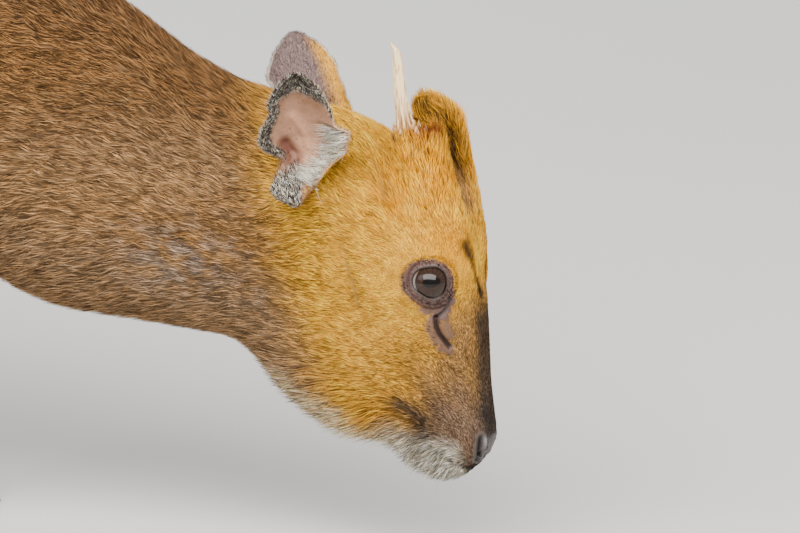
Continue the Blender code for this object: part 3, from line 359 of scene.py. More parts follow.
def ring_faces(rings, count):
    """Triangles of a tube of rings, closed at both ends by fans round the rings' first points."""
    level, step = np.meshgrid(np.arange(rings - 1), np.arange(count), indexing="ij")
    here = (level * count + step).ravel()
    beside = (level * count + (step + 1) % count).ravel()
    sides = split_quads(np.stack([here, beside, beside + count, here + count], axis=1))
    fan = np.arange(1, count - 1)
    low = np.stack([np.zeros_like(fan), fan + 1, fan], axis=1)
    high = np.stack([np.zeros_like(fan), fan, fan + 1], axis=1) + (rings - 1) * count
    return np.concatenate([sides, low, high])


def vertex_normals(points, triangles):
    """The mean of the faces' normals round each point, each face weighing its area."""
    corners = points[triangles]
    normal = np.cross(corners[:, 1] - corners[:, 0], corners[:, 2] - corners[:, 0])
    total = np.empty_like(points)
    for axis in range(3):
        weights = np.repeat(normal[:, axis], 3)
        total[:, axis] = np.bincount(triangles.ravel(), weights=weights, minlength=len(points))
    return unit(total)


def smoothed(points, edges, pull, rounds, push=1.04):
    """Each round moves every point by its pull towards the mean of its neighbours, then back by push
    times as much.
    """
    counts = np.maximum(np.bincount(edges.ravel(), minlength=len(points)), 1)
    pull = np.broadcast_to(pull, len(points))[:, None]
    for number in range(2 * rounds):
        mean = np.empty_like(points)
        for axis in range(3):
            there = np.bincount(edges[:, 0], weights=points[edges[:, 1], axis], minlength=len(points))
            back = np.bincount(edges[:, 1], weights=points[edges[:, 0], axis], minlength=len(points))
            mean[:, axis] = (there + back) / counts
        points = points + (mean - points) * pull * (-push if number % 2 else 1.0)
    return points


def surface_mesh(name, points, triangles):
    """A mesh of triangles, shaded smooth."""
    mesh = bpy.data.meshes.new(name)
    mesh.vertices.add(len(points))
    mesh.vertices.foreach_set("co", points.astype(np.float32).ravel())
    mesh.loops.add(triangles.size)
    mesh.loops.foreach_set("vertex_index", triangles.astype(np.int32).ravel())
    mesh.polygons.add(len(triangles))
    mesh.polygons.foreach_set("loop_start", np.arange(0, triangles.size, 3, dtype=np.int32))
    mesh.polygons.foreach_set("use_smooth", np.ones(len(triangles), dtype=bool))
    mesh.update(calc_edges=True)
    return mesh


def paint(mesh, colours):
    """Stores a colour for each point as the attribute that the materials read."""
    values = np.ones((len(colours), 4), np.float32)
    values[:, :3] = colours
    mesh.color_attributes.new("tint", "FLOAT_COLOR", "POINT").data.foreach_set("color", values.ravel())


def mark(mesh, name, values):
    """Stores a number for each point."""
    mesh.attributes.new(name, "FLOAT", "POINT").data.foreach_set("value", values.astype(np.float32))


def add_piece(name, mesh, material, replaced=()):
    """Puts a piece into the scene, riding on the one body, with its material and slot."""
    piece = bpy.data.objects.new(name, mesh)
    bpy.context.scene.collection.objects.link(piece)
    mesh.materials.append(material)
    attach(piece, "root")
    if replaced:
        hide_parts(*replaced)
    return piece


class Wire:
    """A value in a material. Sums and products of wires and numbers add Math nodes."""

    def __init__(self, tree, socket):
        self.tree = tree
        self.socket = socket

    def maths(self, operation, first, second):
        return put(self.tree, "ShaderNodeMath", {"operation": operation}, {0: first, 1: second})

    def __add__(self, other):
        return self.maths("ADD", self, other)

    def __radd__(self, other):
        return self.maths("ADD", other, self)

    def __sub__(self, other):
        return self.maths("SUBTRACT", self, other)

    def __rsub__(self, other):
        return self.maths("SUBTRACT", other, self)

    def __mul__(self, other):
        return self.maths("MULTIPLY", self, other)

    def __rmul__(self, other):
        return self.maths("MULTIPLY", other, self)

    def __pow__(self, other):
        return self.maths("POWER", self, other)


def put(tree, kind, settings, inputs, output=0):
    """Adds a node: its settings first, then a value or a wire for each named socket.

    Gives one of its outputs.
    """
    node = tree.nodes.new(kind)
    for name, value in settings.items():
        setattr(node, name, value)
    for key, value in inputs.items():
        if isinstance(value, Wire):
            tree.links.new(value.socket, node.inputs[key])
        else:
            node.inputs[key].default_value = value
    return Wire(tree, node.outputs[output])


def ramped(wire, stops):
    """The wire through a colour ramp with these stops of place and grey or colour."""
    node = wire.tree.nodes.new("ShaderNodeValToRGB")
    elements = node.color_ramp.elements
    while len(elements) < len(stops):
        elements.new(0.5)
    for element, (place, value) in zip(elements, stops):
        element.position = place
        element.color = (*value, 1.0) if isinstance(value, tuple) else (value, value, value, 1.0)
    wire.tree.links.new(wire.socket, node.inputs[0])
    return Wire(wire.tree, node.outputs[0])


def blended(tree, share, first, second, way="MIX"):
    """Two colours mixed by a share."""
    settings = {"data_type": "RGBA", "blend_type": way, "clamp_factor": True}
    return put(tree, "ShaderNodeMix", settings, {0: share, 6: first, 7: second}, output=2)


def new_finish(name):
    """A material with its tree, its shader and the place on the piece."""
    material = bpy.data.materials.new(name)
    material.use_nodes = True
    tree = material.node_tree
    shader = tree.nodes["Principled BSDF"]
    place = put(tree, "ShaderNodeTexCoord", {}, {}, output=3)
    return material, tree, shader, place


def set_finish(tree, shader, wires, constants):
    """Wires what varies into the shader and sets what doesn't on its own sockets."""
    for name, wire in wires.items():
        tree.links.new(wire.socket, shader.inputs[name])
    for name, value in constants.items():
        shader.inputs[name].default_value = value


def noise(place, scale, detail=3.0, stretch=None):
    """Noise at a place, between 0 and 1. A stretch is the scale along each axis."""
    tree = place.tree
    if stretch:
        place = put(tree, "ShaderNodeMapping", {}, {"Vector": place, "Scale": stretch})
    return put(tree, "ShaderNodeTexNoise", {}, {"Vector": place, "Scale": scale, "Detail": detail})


def bumped(tree, height, strength, distance):
    """A Bump node's normal from a height."""
    inputs = {"Height": height, "Strength": strength, "Distance": distance}
    return put(tree, "ShaderNodeBump", {}, inputs)


def attribute(tree, name, output=0):
    return put(tree, "ShaderNodeAttribute", {"attribute_name": name}, {}, output=output)


def hair_finish():
    """Hair: the tuft's own colour, broken up finely, with a soft gloss.

    Made once and shared by all the coat.
    """
    if "hair" in bpy.data.materials:
        return bpy.data.materials["hair"]
    material, tree, shader, place = new_finish("hair")
    grain = noise(place, 1400.0)
    shade = ramped(grain, [(0.25, 0.78), (0.75, 1.0)])
    colour = blended(tree, 1.0, attribute(tree, "tint"), shade, "MULTIPLY")
    rough = HAIR_ROUGHNESS + 0.2 * grain
    wires = {"Base Color": colour, "Roughness": rough}
    set_finish(tree, shader, wires, {"Specular IOR Level": 0.07})
    return material


def hide_finish(name, wet):
    """Skin: short hair as fine bump where it is furred, pebbled and glossier where it is bare."""
    material, tree, shader, place = new_finish(name)
    bare = attribute(tree, "bare", output=2)
    fine = noise(place, 1500.0, 4.0)
    pebble = put(
        tree,
        "ShaderNodeTexVoronoi",
        {"feature": "SMOOTH_F1"},
        {"Vector": place, "Scale": 900.0, "Smoothness": 0.6},
    )
    veins = noise(place, 260.0, 5.0)
    shade = ramped(fine * 0.6 + veins * 0.4, [(0.3, 0.72), (0.7, 1.0)])
    colour = blended(tree, 1.0, attribute(tree, "tint"), shade, "MULTIPLY")
    rough = (0.85 - 0.25 * bare) - wet * bare * veins * 0.2
    height = fine * (1.0 - bare) + pebble * bare * 0.6 + veins * bare * 0.5
    normal = bumped(tree, height, 0.55, 0.0006)
    wires = {"Base Color": colour, "Roughness": rough, "Normal": normal}
    set_finish(tree, shader, wires, {"Specular IOR Level": 0.4})
    return material


def eye_finish():
    """A wet ball: its painted iris under a clear coat."""
    material, tree, shader, place = new_finish("eye_wet")
    streaks = noise(place, 500.0, 4.0)
    shade = ramped(streaks, [(0.2, 0.7), (0.8, 1.0)])
    colour = blended(tree, 1.0, attribute(tree, "tint"), shade, "MULTIPLY")
    wires = {"Base Color": colour, "Roughness": 0.16 + 0.06 * streaks}
    settings = {"Coat Weight": 1.0, "Coat Roughness": 0.015, "Coat IOR": 1.34, "Specular IOR Level": 0.05}
    set_finish(tree, shader, wires, settings)
    return material


def bone_finish():
    """Weathered antler: ivory, with brown in the flutes and fine cracks along it."""
    material, tree, shader, place = new_finish("antler_bone")
    cracks = noise(place, 120.0, 6.0, stretch=(9.0, 9.0, 1.0))
    stain = noise(place, 90.0, 4.0)
    tint = attribute(tree, "tint")
    clean = (1.0, 1.0, 1.0)
    worn = blended(tree, 1.0, tint, ramped(cracks, [(0.36, (0.55, 0.42, 0.28)), (0.5, clean)]), "MULTIPLY")
    colour = blended(tree, 0.5, worn, ramped(stain, [(0.3, (0.85, 0.76, 0.62)), (0.6, clean)]), "MULTIPLY")
    rough = 0.42 + 0.3 * cracks
    normal = bumped(tree, cracks * 0.7 + stain * 0.3, 0.5, 0.0008)
    wires = {"Base Color": colour, "Roughness": rough, "Normal": normal}
    set_finish(tree, shader, wires, {"Specular IOR Level": 0.45})
    return material


def horn_finish(settings):
    """Hoof horn: black-brown, with growth rings across and fine grain down it, dusty in patches."""
    material, tree, shader, place = new_finish("hoof_horn")
    inputs = {"Vector": place, "Scale": 320.0, "Distortion": 2.5, "Detail": 2.0}
    rings = put(tree, "ShaderNodeTexWave", {"bands_direction": "Z"}, inputs, output=1)
    grain = noise(place, 300.0, 5.0, stretch=(5.0, 5.0, 0.6))
    dust = noise(place, 60.0, 4.0)
    dark = tuple(settings.hoof_colour)
    pale = tuple(min(1.0, c * 3.2 + 0.03) for c in dark)
    colour = blended(tree, dust * 0.75, (*dark, 1.0), (*pale, 1.0))
    colour = blended(tree, 0.6, colour, ramped(grain, [(0.3, 0.45), (0.7, 1.0)]), "MULTIPLY")
    rough = 0.34 + 0.35 * dust
    normal = bumped(tree, rings * 0.5 + grain * 0.5, 0.6, 0.0006)
    wires = {"Base Color": colour, "Roughness": rough, "Normal": normal}
    set_finish(tree, shader, wires, {"Specular IOR Level": 0.5})
    return material


def floor_finish(settings):
    """A plain pale floor, faintly mottled."""
    material, tree, shader, place = new_finish("floor")
    cloud = noise(place, 3.0, 4.0)
    pale = tuple(settings.floor_colour)
    darker = tuple(c * 0.95 for c in pale)
    colour = blended(tree, cloud, (*darker, 1.0), (*pale, 1.0))
    rough = 0.75 + 0.1 * cloud
    set_finish(tree, shader, {"Base Color": colour, "Roughness": rough}, {"Specular IOR Level": 0.2})
    return material


def colour_setting(name, description, default):
    return bpy.props.FloatVectorProperty(
        name=name, description=description, default=default, subtype="COLOR", min=0, max=1
    )


def angle_setting(name, description, degrees):
    return bpy.props.FloatProperty(
        name=name, description=description, default=math.radians(degrees), subtype="ANGLE", unit="ROTATION"
    )


def length_setting(name, description, default):
    return bpy.props.FloatProperty(
        name=name, description=description, default=default, precision=4, subtype="DISTANCE", unit="LENGTH"
    )


class StageSettings(bpy.types.PropertyGroup):
    azimuth: angle_setting("Azimuth", "How far the camera stands round to the front", 15.0)
    elevation: angle_setting("Elevation", "How far the camera looks down", 14.0)
    distance: length_setting("Distance", "From the camera to the head", 4.0)
    view_width: length_setting("View width", "Width of the view at the head", 0.44)
    target: bpy.props.FloatVectorProperty(
        name="Target", description="Place in the middle of the view", default=(0.3749, 0.0125, 0.1632),
        subtype="TRANSLATION", unit="LENGTH",
    )
    floor_colour: colour_setting("Floor", "Colour of the floor", (0.62, 0.61, 0.59))
    key: bpy.props.FloatProperty(name="Key", description="Power of the large light above", default=240.0)
    fill: bpy.props.FloatProperty(name="Fill", description="Power of each light at the sides", default=26.0)


class CoatSettings(bpy.types.PropertyGroup):
    cover: bpy.props.FloatProperty(
        name="Cover", description="Layers of tufts over any place", default=3.0, min=0.5, max=6.0
    )
    seed: bpy.props.IntProperty(name="Seed", description="Start of the random draws", default=3)
    gold: colour_setting("Gold", "Hair of the head", (0.95, 0.46, 0.035))
    orange: colour_setting("Orange", "Hair of the forehead", (0.82, 0.33, 0.0))
    brown: colour_setting("Brown", "Hair of the neck and body", (0.48, 0.235, 0.070))
    umber: colour_setting("Umber", "Hair of the back and legs", (0.15, 0.075, 0.035))
    black: colour_setting("Black", "Dark marks and tips", (0.020, 0.013, 0.010))
    cream: colour_setting("Cream", "Hair of the chin and belly", (0.74, 0.68, 0.55))
    grey: colour_setting("Grey", "Hair of the muzzle and ears", (0.105, 0.078, 0.066))


class SkinSettings(bpy.types.PropertyGroup):
    voxel: length_setting("Voxel", "Size of the even mesh over the flesh", 0.0040)
    depth: bpy.props.FloatProperty(
        name="Depth", description="How deep the skin lies under the coat, for each length of hair",
        default=0.20, min=0, max=0.5,
    )
    bare: colour_setting("Bare skin", "Skin round the eye and gland", (0.125, 0.066, 0.054))
    pad: colour_setting("Nose", "Skin of the nose", (0.050, 0.040, 0.038))


class EyeSettings(bpy.types.PropertyGroup):
    iris: colour_setting("Iris", "Colour of the iris", (0.030, 0.014, 0.008))
    white: colour_setting("White", "Colour of the ball round the iris", (0.24, 0.19, 0.17))
    iris_edge: angle_setting("Iris edge", "Half angle of the iris", 48.0)
    turn: angle_setting("Turn", "How far the eye looks forwards", 6.0)


class EarSettings(bpy.types.PropertyGroup):
    length: length_setting("Length", "From the lobe to the tip", 0.0806)
    wall: length_setting("Wall", "Thickness of the ear", 0.0016)
    inside: colour_setting("Inside", "Skin inside the ear", (0.42, 0.228, 0.138))
    outside: colour_setting("Back", "Thinly haired back of the ear", (0.22, 0.15, 0.14))


class HornSettings(bpy.types.PropertyGroup):
    antler_length: length_setting("Antler length", "Length of the broken antler", 0.0465)
    antler_radius: length_setting("Antler radius", "Its radius above the base", 0.0033)
    ivory: colour_setting("Ivory", "Clean antler", (0.92, 0.70, 0.41))
    hoof_colour: colour_setting("Hoof", "Horn of the hooves", (0.022, 0.018, 0.016))


def eye_frame(side):
    """The eye's middle, and its directions outwards, forwards and up, in metres."""
    flip = np.array((1.0, side, 1.0))
    centre = NOSE_TIP + np.array(EYE_CENTRE) * flip * MM
    out = unit(np.array(EYE_AXIS) * flip)
    forward = np.array(FACE_OUT) - out * (out @ np.array(FACE_OUT))
    forward = unit(forward)
    up = np.cross(out, forward) * -side
    return centre, out, forward, unit(up)


def opening_angle(turn):
    """Half angle of the eye's opening at each turn round it: measured values, averaged over a few degrees.
    """
    turn = np.degrees(turn)
    values = [np.interp(turn + step, OPENING_TURNS, OPENING_HALVES, period=360) for step in (-14, -5, 5, 14)]
    return np.radians(np.mean(values, axis=0))


def eye_place(points, side):
    """How far each point lies from the eye's axis beyond the opening's edge, in mm, and its height along
    the axis.
    """
    centre, out, forward, up = eye_frame(side)
    offset = (points - centre) / MM
    ahead, above = offset @ forward, offset @ up
    turn = np.arctan2(above, ahead)
    edge = EYE_RADIUS * np.sin(opening_angle(turn))
    return np.hypot(ahead, above) - edge, offset @ out, turn


def combed(places):
    """The comb's direction, length, width and lift at each place.

    A row counts one over its distance to the fourth.
    """
    rows = np.array([place for place, *_ in COMB], float)
    values = np.array([(*direction, *shape) for _, direction, *shape in COMB], float)
    values[:, :3] = unit(values[:, :3])
    result = np.empty((len(places), values.shape[1]))
    for start in range(0, len(places), 40000):
        block = places[start : start + 40000]
        gap = ((block[:, None, :] - rows) ** 2).sum(2) + 9.0
        weights = gap**-2.0
        result[start : start + 40000] = weights @ values / weights.sum(1, keepdims=True)
    return unit(result[:, :3]), result[:, 3], result[:, 4], result[:, 5]


def bareness(points, places):
    """1 on skin with no hair: round the eye, the gland, the nose and inside the lips."""
    ragged = 0.9 * waves(places, 4.0, 17)
    bare = 1 - ramp(cut_distance(places, GLAND_SLIT, GLAND_OUT), 1.4, 2.4)
    for path, most, near, far in (
        (GLAND_LIP, 0.92, 1.8, 3.4),
        (GLAND_CREASE, 1.00, 3.0, 4.8),
        (GLAND_BULGE, 0.86, 2.2, 5.2),
        (UNDER_LID, 0.97, 3.4, 5.8),
    ):
        bare = np.maximum(bare, most * (1 - ramp(path_distance(places, path) + ragged, near, far)))
    for side in SIDES.values():
        beyond, height, turn = eye_place(points, side)
        reach = np.interp(np.degrees(turn), LID_TURNS, LID_REACHES, period=360) + 0.5 * waves(places, 4.0, 16)
        bare = np.maximum(bare, (1 - ramp(beyond - reach, -0.9, 0.9)) * (height > 0))
    bare = np.maximum(bare, 1 - ramp(path_distance(places, MOUTH), 0.9, 1.6))
    bare = np.maximum(bare, 1 - ramp(path_distance(places, NOSTRIL), 3.0, 4.5))
    ahead, beside, above = places.T
    pad = (1 - ramp(beside, 7.0, 11.0)) * (1 - ramp(above, 13.0, 18.0)) * ramp(ahead, -6.0, -2.0)
    return np.maximum(bare, pad)


def markings(points, skin, coat):
    """The colour of skin and coat at each point: broad areas first, then the marks of the head over them,
    with painted shade in creases and cuts and a painted highlight on the nostril's rim.
    """
    q = from_nose(points)
    x, y, z = q.T
    drift = waves(q, 28.0, 5)
    gold, orange, brown, umber = (np.array(c) for c in (coat.gold, coat.orange, coat.brown, coat.umber))
    black, cream, grey = (np.array(c) for c in (coat.black, coat.cream, coat.grey))
    head = ramp(along_head(q) + 3 * drift, -122, -84)
    colour = mixed(brown, gold * 0.97, head)
    forehead = ramp(z - 0.35 * x + 3 * drift, 138, 160) * ramp(x, -75, -40)
    colour = mixed(colour, orange, np.clip(0.62 + 0.30 * waves(q, 16.0, 6), 0, 1) * forehead)
    brow = bump(np.linalg.norm(q - (-16, 26, 125), axis=1), 15.0)
    colour = mixed(colour, orange, 0.85 * brow)
    cheek = ramp(x, -110, -50) * (1 - ramp(z, 70, 100))
    colour = mixed(colour, mixed(gold, brown, 0.35), 0.75 * cheek)
    body = 1 - ramp(x, -330, -250)
    saddle = ramp(z - 300 * body - (1 - body) * (185 - 0.42 * (x + 100)), -35, 35) * (1 - head)
    colour = mixed(colour, umber * 1.25, 0.62 * saddle)
    nape = ramp(z, 145, 185) * (1 - ramp(x, -128, -96)) * (1 - body)
    colour = mixed(colour, umber * 1.4, 0.42 * nape)
    middle = bump(z - 165 - 0.1 * (x + 150), 34.0) * (1 - head) * (1 - body) * ramp(y, 20, 40)
    colour = mixed(colour, mixed(brown, cream, 0.35), 0.30 * middle)
    throat = (1 - ramp(z + 0.22 * (x + 100), 78, 125)) * (1 - head) * (1 - body)
    colour = mixed(colour, mixed(brown, cream, 0.30), 0.55 * throat)
    clear = ramp(-x, 375, 405) * (1 - ramp(-x, 640, 685))
    belly = (1 - ramp(z + 6 * drift, 105, 150)) * body * (1 - ramp(y, 45, 80)) * ramp(z, 85, 95) * clear
    inner = (1 - ramp(y, 22, 34)) * ramp(z, 20, 60) * (1 - ramp(z, 150, 210)) * (1 - ramp(x, -340, -300))
    colour = mixed(colour, cream, np.maximum(0.85 * belly, 0.75 * inner * ramp(-x, 640, 700)))
    leg = (1 - ramp(z, 20, 150)) * (1 - ramp(x, -330, -290))
    shin = leg * ramp(np.where(x > LEGS_MIDDLE, x + 365, x + 765) + 0.12 * z, -10, 14)
    colour = mixed(colour, umber, 0.55 * leg)
    colour = mixed(colour, black * 2.0, 0.6 * shin)
    worn = bump(np.linalg.norm((q - (-160, 46, 110)) / (1.5, 1.0, 1.0), axis=1), 24.0)
    worn = np.maximum(worn, 0.7 * bump(np.linalg.norm(q - (-118, 42, 92), axis=1), 14.0))
    colour = mixed(colour, mixed(grey * 3.2, cream, 0.25), 0.70 * worn * ramp(waves(q, 14.0, 8), -0.6, 0.5))
    tail = ramp(-x, 822, 830)
    behind = tail * ramp(np.interp(z, TAIL_HEIGHTS, TAIL_MIDDLES) - x, -2, 3) * (1 - ramp(y, 11, 15))
    rump = ramp(-x, 800, 826) * (1 - ramp(y, 18, 32)) * (1 - ramp(z, 300, 345)) * ramp(z, 140, 200)
    colour = mixed(colour, cream, 0.9 * np.maximum(tail * (z < 365), rump))
    colour = mixed(colour, umber * 0.9, 0.92 * behind)
    bridge = (1 - ramp(y, 8, 19)) * (1 - ramp(z, 78, 106)) * ramp(x, -24, -9)
    muzzle = (1 - ramp(z + 0.7 * x + 4 * drift, 20, 54)) * ramp(x, -40, -20)
    colour = mixed(colour, mixed(grey * 1.7, brown, 0.27), 0.95 * muzzle)
    colour = mixed(colour, grey * 0.62, 0.92 * bridge)
    front = (1 - ramp(z + 0.4 * y, 82, 112)) * ramp(x + 0.3 * y, -15, -3)
    colour = mixed(colour, mixed(grey * 1.9, brown, 0.35), 0.6 * front * (1 - bridge))
    jaw = ramp(-x, 34, 62)
    below = 1 - ramp(z + 0.5 * (x + 20) + 9 * jaw + 2.5 * drift, 5, 17)
    chin = below * ramp(x, -165, -90) * (1 - ramp(x, -14, -6))
    colour = mixed(colour, mixed(cream * 1.15, gold, 0.42 * jaw), 0.93 * chin)
    lip = bump(path_distance(q, LIP_HAIR), 3.4)
    colour = mixed(colour, cream * 0.85, 0.65 * lip)
    patch = bump(path_distance(q, MOUTH_PATCH), 6.0)
    colour = mixed(colour, grey * 1.1, 0.88 * patch)
    line = bump(path_distance(q, BROW_LINE), 2.5 + 1.2 * ramp(z, 112, 122))
    inner = bump(path_distance(q, INNER_HAIR), 10.5) * np.clip(1.1 + 0.5 * waves(q, 5.0, 14), 0, 1)
    colour = mixed(colour, mixed(brown, grey * 2.4, 0.5), 0.7 * bump(path_distance(q, INNER_PINK), 5.5))
    colour = mixed(colour, black, np.maximum(line, 0.95 * inner))
    blood = bump(path_distance(q, BURR_STAIN), 4.8) * (points[:, 1] < 0)
    colour = mixed(colour, np.array((0.16, 0.035, 0.015)), 0.95 * blood)
    crown = ramp(z, 178, 190) * (points[:, 1] > 0) * ramp(x, -75, -60) * (1 - inner)
    colour = mixed(colour, gold * 1.05, 0.7 * crown)
    rim = bump(path_distance(q, PEDICLE_RIM), 5.0) * np.clip(0.6 + 0.5 * waves(q, 3.0, 15), 0, 1)
    colour = mixed(colour, grey * 0.9, 0.8 * rim)
    # Painted shade: darker umber along the carved crease of the pedicle
    colour = mixed(colour, umber, 0.6 * bump(path_distance(q, PEDICLE_CREASE), 2.2))
    # Painted shade: broken black in the carved fold of the cheek crease
    crease = bump(path_distance(q, CHEEK_CREASE), 2.3) * ramp(waves(q, 6.0, 12), -1.2, 0.1)
    colour = mixed(colour, black, 0.95 * crease)
    bare = bareness(points, q)
    nose = (1 - ramp(z, 14, 30)) * ramp(x, -12, -4)
    naked = mixed(np.array(skin.bare), np.array(skin.pad), nose)
    naked = mixed(naked, np.array(skin.bare) * (0.80, 0.78, 0.74), bump(path_distance(q, GLAND_SLIT), 9.0))
    # Painted highlight: the wet rim of the nostril is painted pale grey
    naked = mixed(naked, np.array((0.26, 0.24, 0.25)), 0.7 * bump(path_distance(q, NOSTRIL_RIM), 1.8))
    # Painted shade: black down inside the cuts of the gland, its crease, the mouth and the nostril
    slit_shade = bump(cut_distance(q, GLAND_SLIT, GLAND_OUT), 1.1)
    slit_shade = np.maximum(slit_shade, 0.95 * bump(cut_distance(q, GLAND_CREASE, GLAND_OUT), 1.0))
    slit_shade = np.maximum(slit_shade, bump(cut_distance(q, MOUTH, MOUTH_OUT), 1.1))
    slit_shade = np.maximum(slit_shade, bump(cut_distance(q, NOSTRIL, NOSTRIL_OUT), 1.3))
    naked = mixed(naked, black * 0.7, slit_shade)
    return np.clip(mixed(colour, naked, bare), 0.0, 1.0), bare


def ticking(places):
    """The share of tufts with dark tips: none on the gold of the head, most on the neck and back."""
    x, y, z = places.T
    neck = 1 - ramp(along_head(places), -122, -82)
    muzzle = (1 - ramp(z - 0.7 * x, 80, 118)) * ramp(x, -66, -34)
    cheek = (1 - ramp(z, 55, 90)) * (1 - neck)
    belly = (1 - ramp(z, 100, 140)) * (1 - ramp(x, -330, -290))
    dapple = bump(np.linalg.norm((places - (-98, 44, 118)) / (1.0, 1.0, 1.4), axis=1), 30.0)
    share = 0.06 + 0.38 * dapple + 0.42 * neck * (1 - 0.8 * belly) + 0.46 * muzzle + 0.10 * cheek
    return np.clip(share, 0, 1)


def joined_flesh():
    """One bmesh of the solids of flesh, with the eye sockets filled and the doubles merged."""
    bm = bmesh.new()
    for name in FLESH:
        bm.from_mesh(frame["nodes"][name].data)
    for side in SIDES.values():
        centre = eye_frame(side)[0]
        place = Matrix.Translation(Vector(centre))
        radius = (EYE_RADIUS + 1.0) * MM
        bmesh.ops.create_uvsphere(bm, u_segments=32, v_segments=20, radius=radius, matrix=place)
    bmesh.ops.remove_doubles(bm, verts=bm.verts, dist=1e-6)
    return bm


def refine(bm, wanted):
    """Halves each edge of the faces whose middle is wanted."""
    bm.faces.ensure_lookup_table()
    middles = np.array([face.calc_center_median() for face in bm.faces])
    edges = {edge for index in np.flatnonzero(wanted(from_nose(middles))) for edge in bm.faces[index].edges}
    bmesh.ops.subdivide_edges(bm, edges=list(edges), cuts=1, use_grid_fill=True)


def head_zone(q):
    return (along_head(q) > -118) & (q[:, 2] > -40)


def face_zone(q):
    near = np.linalg.norm(q - (-24, 30, 90), axis=1) < 34
    muzzle = (q[:, 2] < 48) & (q[:, 0] > -50)
    return (near | muzzle | (q[:, 0] > -16)) & head_zone(q)


def feature_zone(q):
    gland = path_distance(q, GLAND_SLIT) < 6.5
    mouth = path_distance(q, MOUTH) < 4.0
    return gland | mouth | (path_distance(q, NOSTRIL) < 6.0)


def evaluated_mesh(obj):
    graph = bpy.context.evaluated_depsgraph_get()
    return bpy.data.meshes.new_from_object(obj.evaluated_get(graph))


def even_flesh(settings):
    """The flesh as one even closed mesh, finer on the head, drawn back onto the solids there.

    Points and triangles.
    """
    bm = joined_flesh()
    flesh = bpy.data.meshes.new("flesh")
    bm.to_mesh(flesh)
    bm.free()
    solid = bpy.data.objects.new("flesh", flesh)
    even = bpy.data.objects.new("even", flesh.copy())
    for obj in (solid, even):
        bpy.context.scene.collection.objects.link(obj)
    remesh = even.modifiers.new("even", "REMESH")
    remesh.mode = "VOXEL"
    remesh.voxel_size = settings.voxel
    remesh.adaptivity = 0.0
    bm = bmesh.new()
    bm.from_mesh(evaluated_mesh(even))
    for zone in (head_zone, face_zone, feature_zone):
        refine(bm, zone)
    bmesh.ops.triangulate(bm, faces=bm.faces)
    fine = bpy.data.meshes.new("fine")
    bm.to_mesh(fine)
    bm.free()
    even.modifiers.clear()
    even.data = fine
    wrap = even.modifiers.new("wrap", "SHRINKWRAP")
    wrap.target = solid
    wrap.wrap_method = "NEAREST_SURFACEPOINT"
    wrapped = evaluated_mesh(even)
    loose, points, edges, triangles = read_mesh(fine)[0], *read_mesh(wrapped)
    places = from_nose(points)
    share = ramp(along_head(places), -118, -100)[:, None]
    points = loose + (points - loose) * share
    bpy.data.objects.remove(even)
    bpy.data.objects.remove(solid)
    return points, edges, triangles


def read_mesh(mesh):
    """Points, edges and triangles of a mesh of triangles, as arrays."""
    points = np.empty(len(mesh.vertices) * 3)
    mesh.vertices.foreach_get("co", points)
    edges = np.empty(len(mesh.edges) * 2, np.int32)
    mesh.edges.foreach_get("vertices", edges)
    corners = np.empty(len(mesh.loops), np.int32)
    mesh.loops.foreach_get("vertex_index", corners)
    return points.reshape(-1, 3), edges.reshape(-1, 2), corners.reshape(-1, 3)


def carved(points, normals):
    """The head's fine forms: each is a bell round its line, pushed in or drawn out along the surface's
    normal.
    """
    q = from_nose(points)
    height = np.zeros(len(points))
    for path, width, rise in FORMS:
        height += rise * bump(path_distance(q, path), width)
    return points + normals * height[:, None] * MM


def lid_piece(side, tree, turns=112):
    """One ring round the eye, from inside the ball's edge out to under the skin, and its triangles.

    Its rows are first shells round the ball, each at an angle beyond the opening, which make the lid's
    edge and plate, and then heights over the skin found by rays, which make the crease and the rim that
    sinks into it.
    """
    centre, out, forward, up = eye_frame(side)
    turn = np.linspace(0, 2 * math.pi, turns, endpoint=False)
    edge = opening_angle(turn)
    upper = ramp(np.sin(turn), -0.2, 0.7)
    across = forward * np.cos(turn)[:, None] + up * np.sin(turn)[:, None]
    rows = []
    for beyond, rise in LID_SHELLS:
        angle = edge + np.radians(beyond)
        radius = EYE_RADIUS + rise + 0.25 * upper * ramp(beyond, 2, 12)
        reach, height = radius * np.sin(angle), radius * np.cos(angle)
        rows.append((reach, height))
    last_reach, last_height = rows[-1]
    for step, rise in LID_STEPS:
        reach = last_reach + step
        share = float(ramp(step, 0.0, 3.2))
        floor = np.array([skin_height(tree, centre, out, a * r * MM) for a, r in zip(across, reach)])
        height = (last_height - 0.25 * step) * (1 - share) + floor * share + rise
        rows.append((reach, height))
    rings = [centre + (across * reach[:, None] + out * height[:, None]) * MM for reach, height in rows]
    points = np.concatenate(rings)
    level, step = np.meshgrid(np.arange(len(rows) - 1), np.arange(turns), indexing="ij")
    here = (level * turns + step).ravel()
    beside = (level * turns + (step + 1) % turns).ravel()
    quads = np.stack([here, here + turns, beside + turns, beside], axis=1)
    if side < 0:
        quads = quads[:, ::-1]
    return points, split_quads(quads)


def skin_height(tree, centre, out, offset):
    """Height of the skin over the eye's middle, along its axis, at an offset from it, in mm."""
    reach = 60 * MM
    start = Vector(centre + offset + out * reach)
    hit = tree.ray_cast(start, -Vector(out))[0]
    return float((np.array(hit) - centre) @ out / MM) if hit else 0.0


def dented(points):
    """The skin sunk under the lids and behind the ball."""
    for side in SIDES.values():
        out = eye_frame(side)[1]
        beyond, height, _ = eye_place(points, side)
        near = height > -4
        depth = 1.6 * (1 - ramp(beyond, 3.2, 5.0)) + 9.0 * (1 - ramp(beyond, -1.0, 2.6))
        points = points - out * (depth * near * MM)[:, None]
    return points


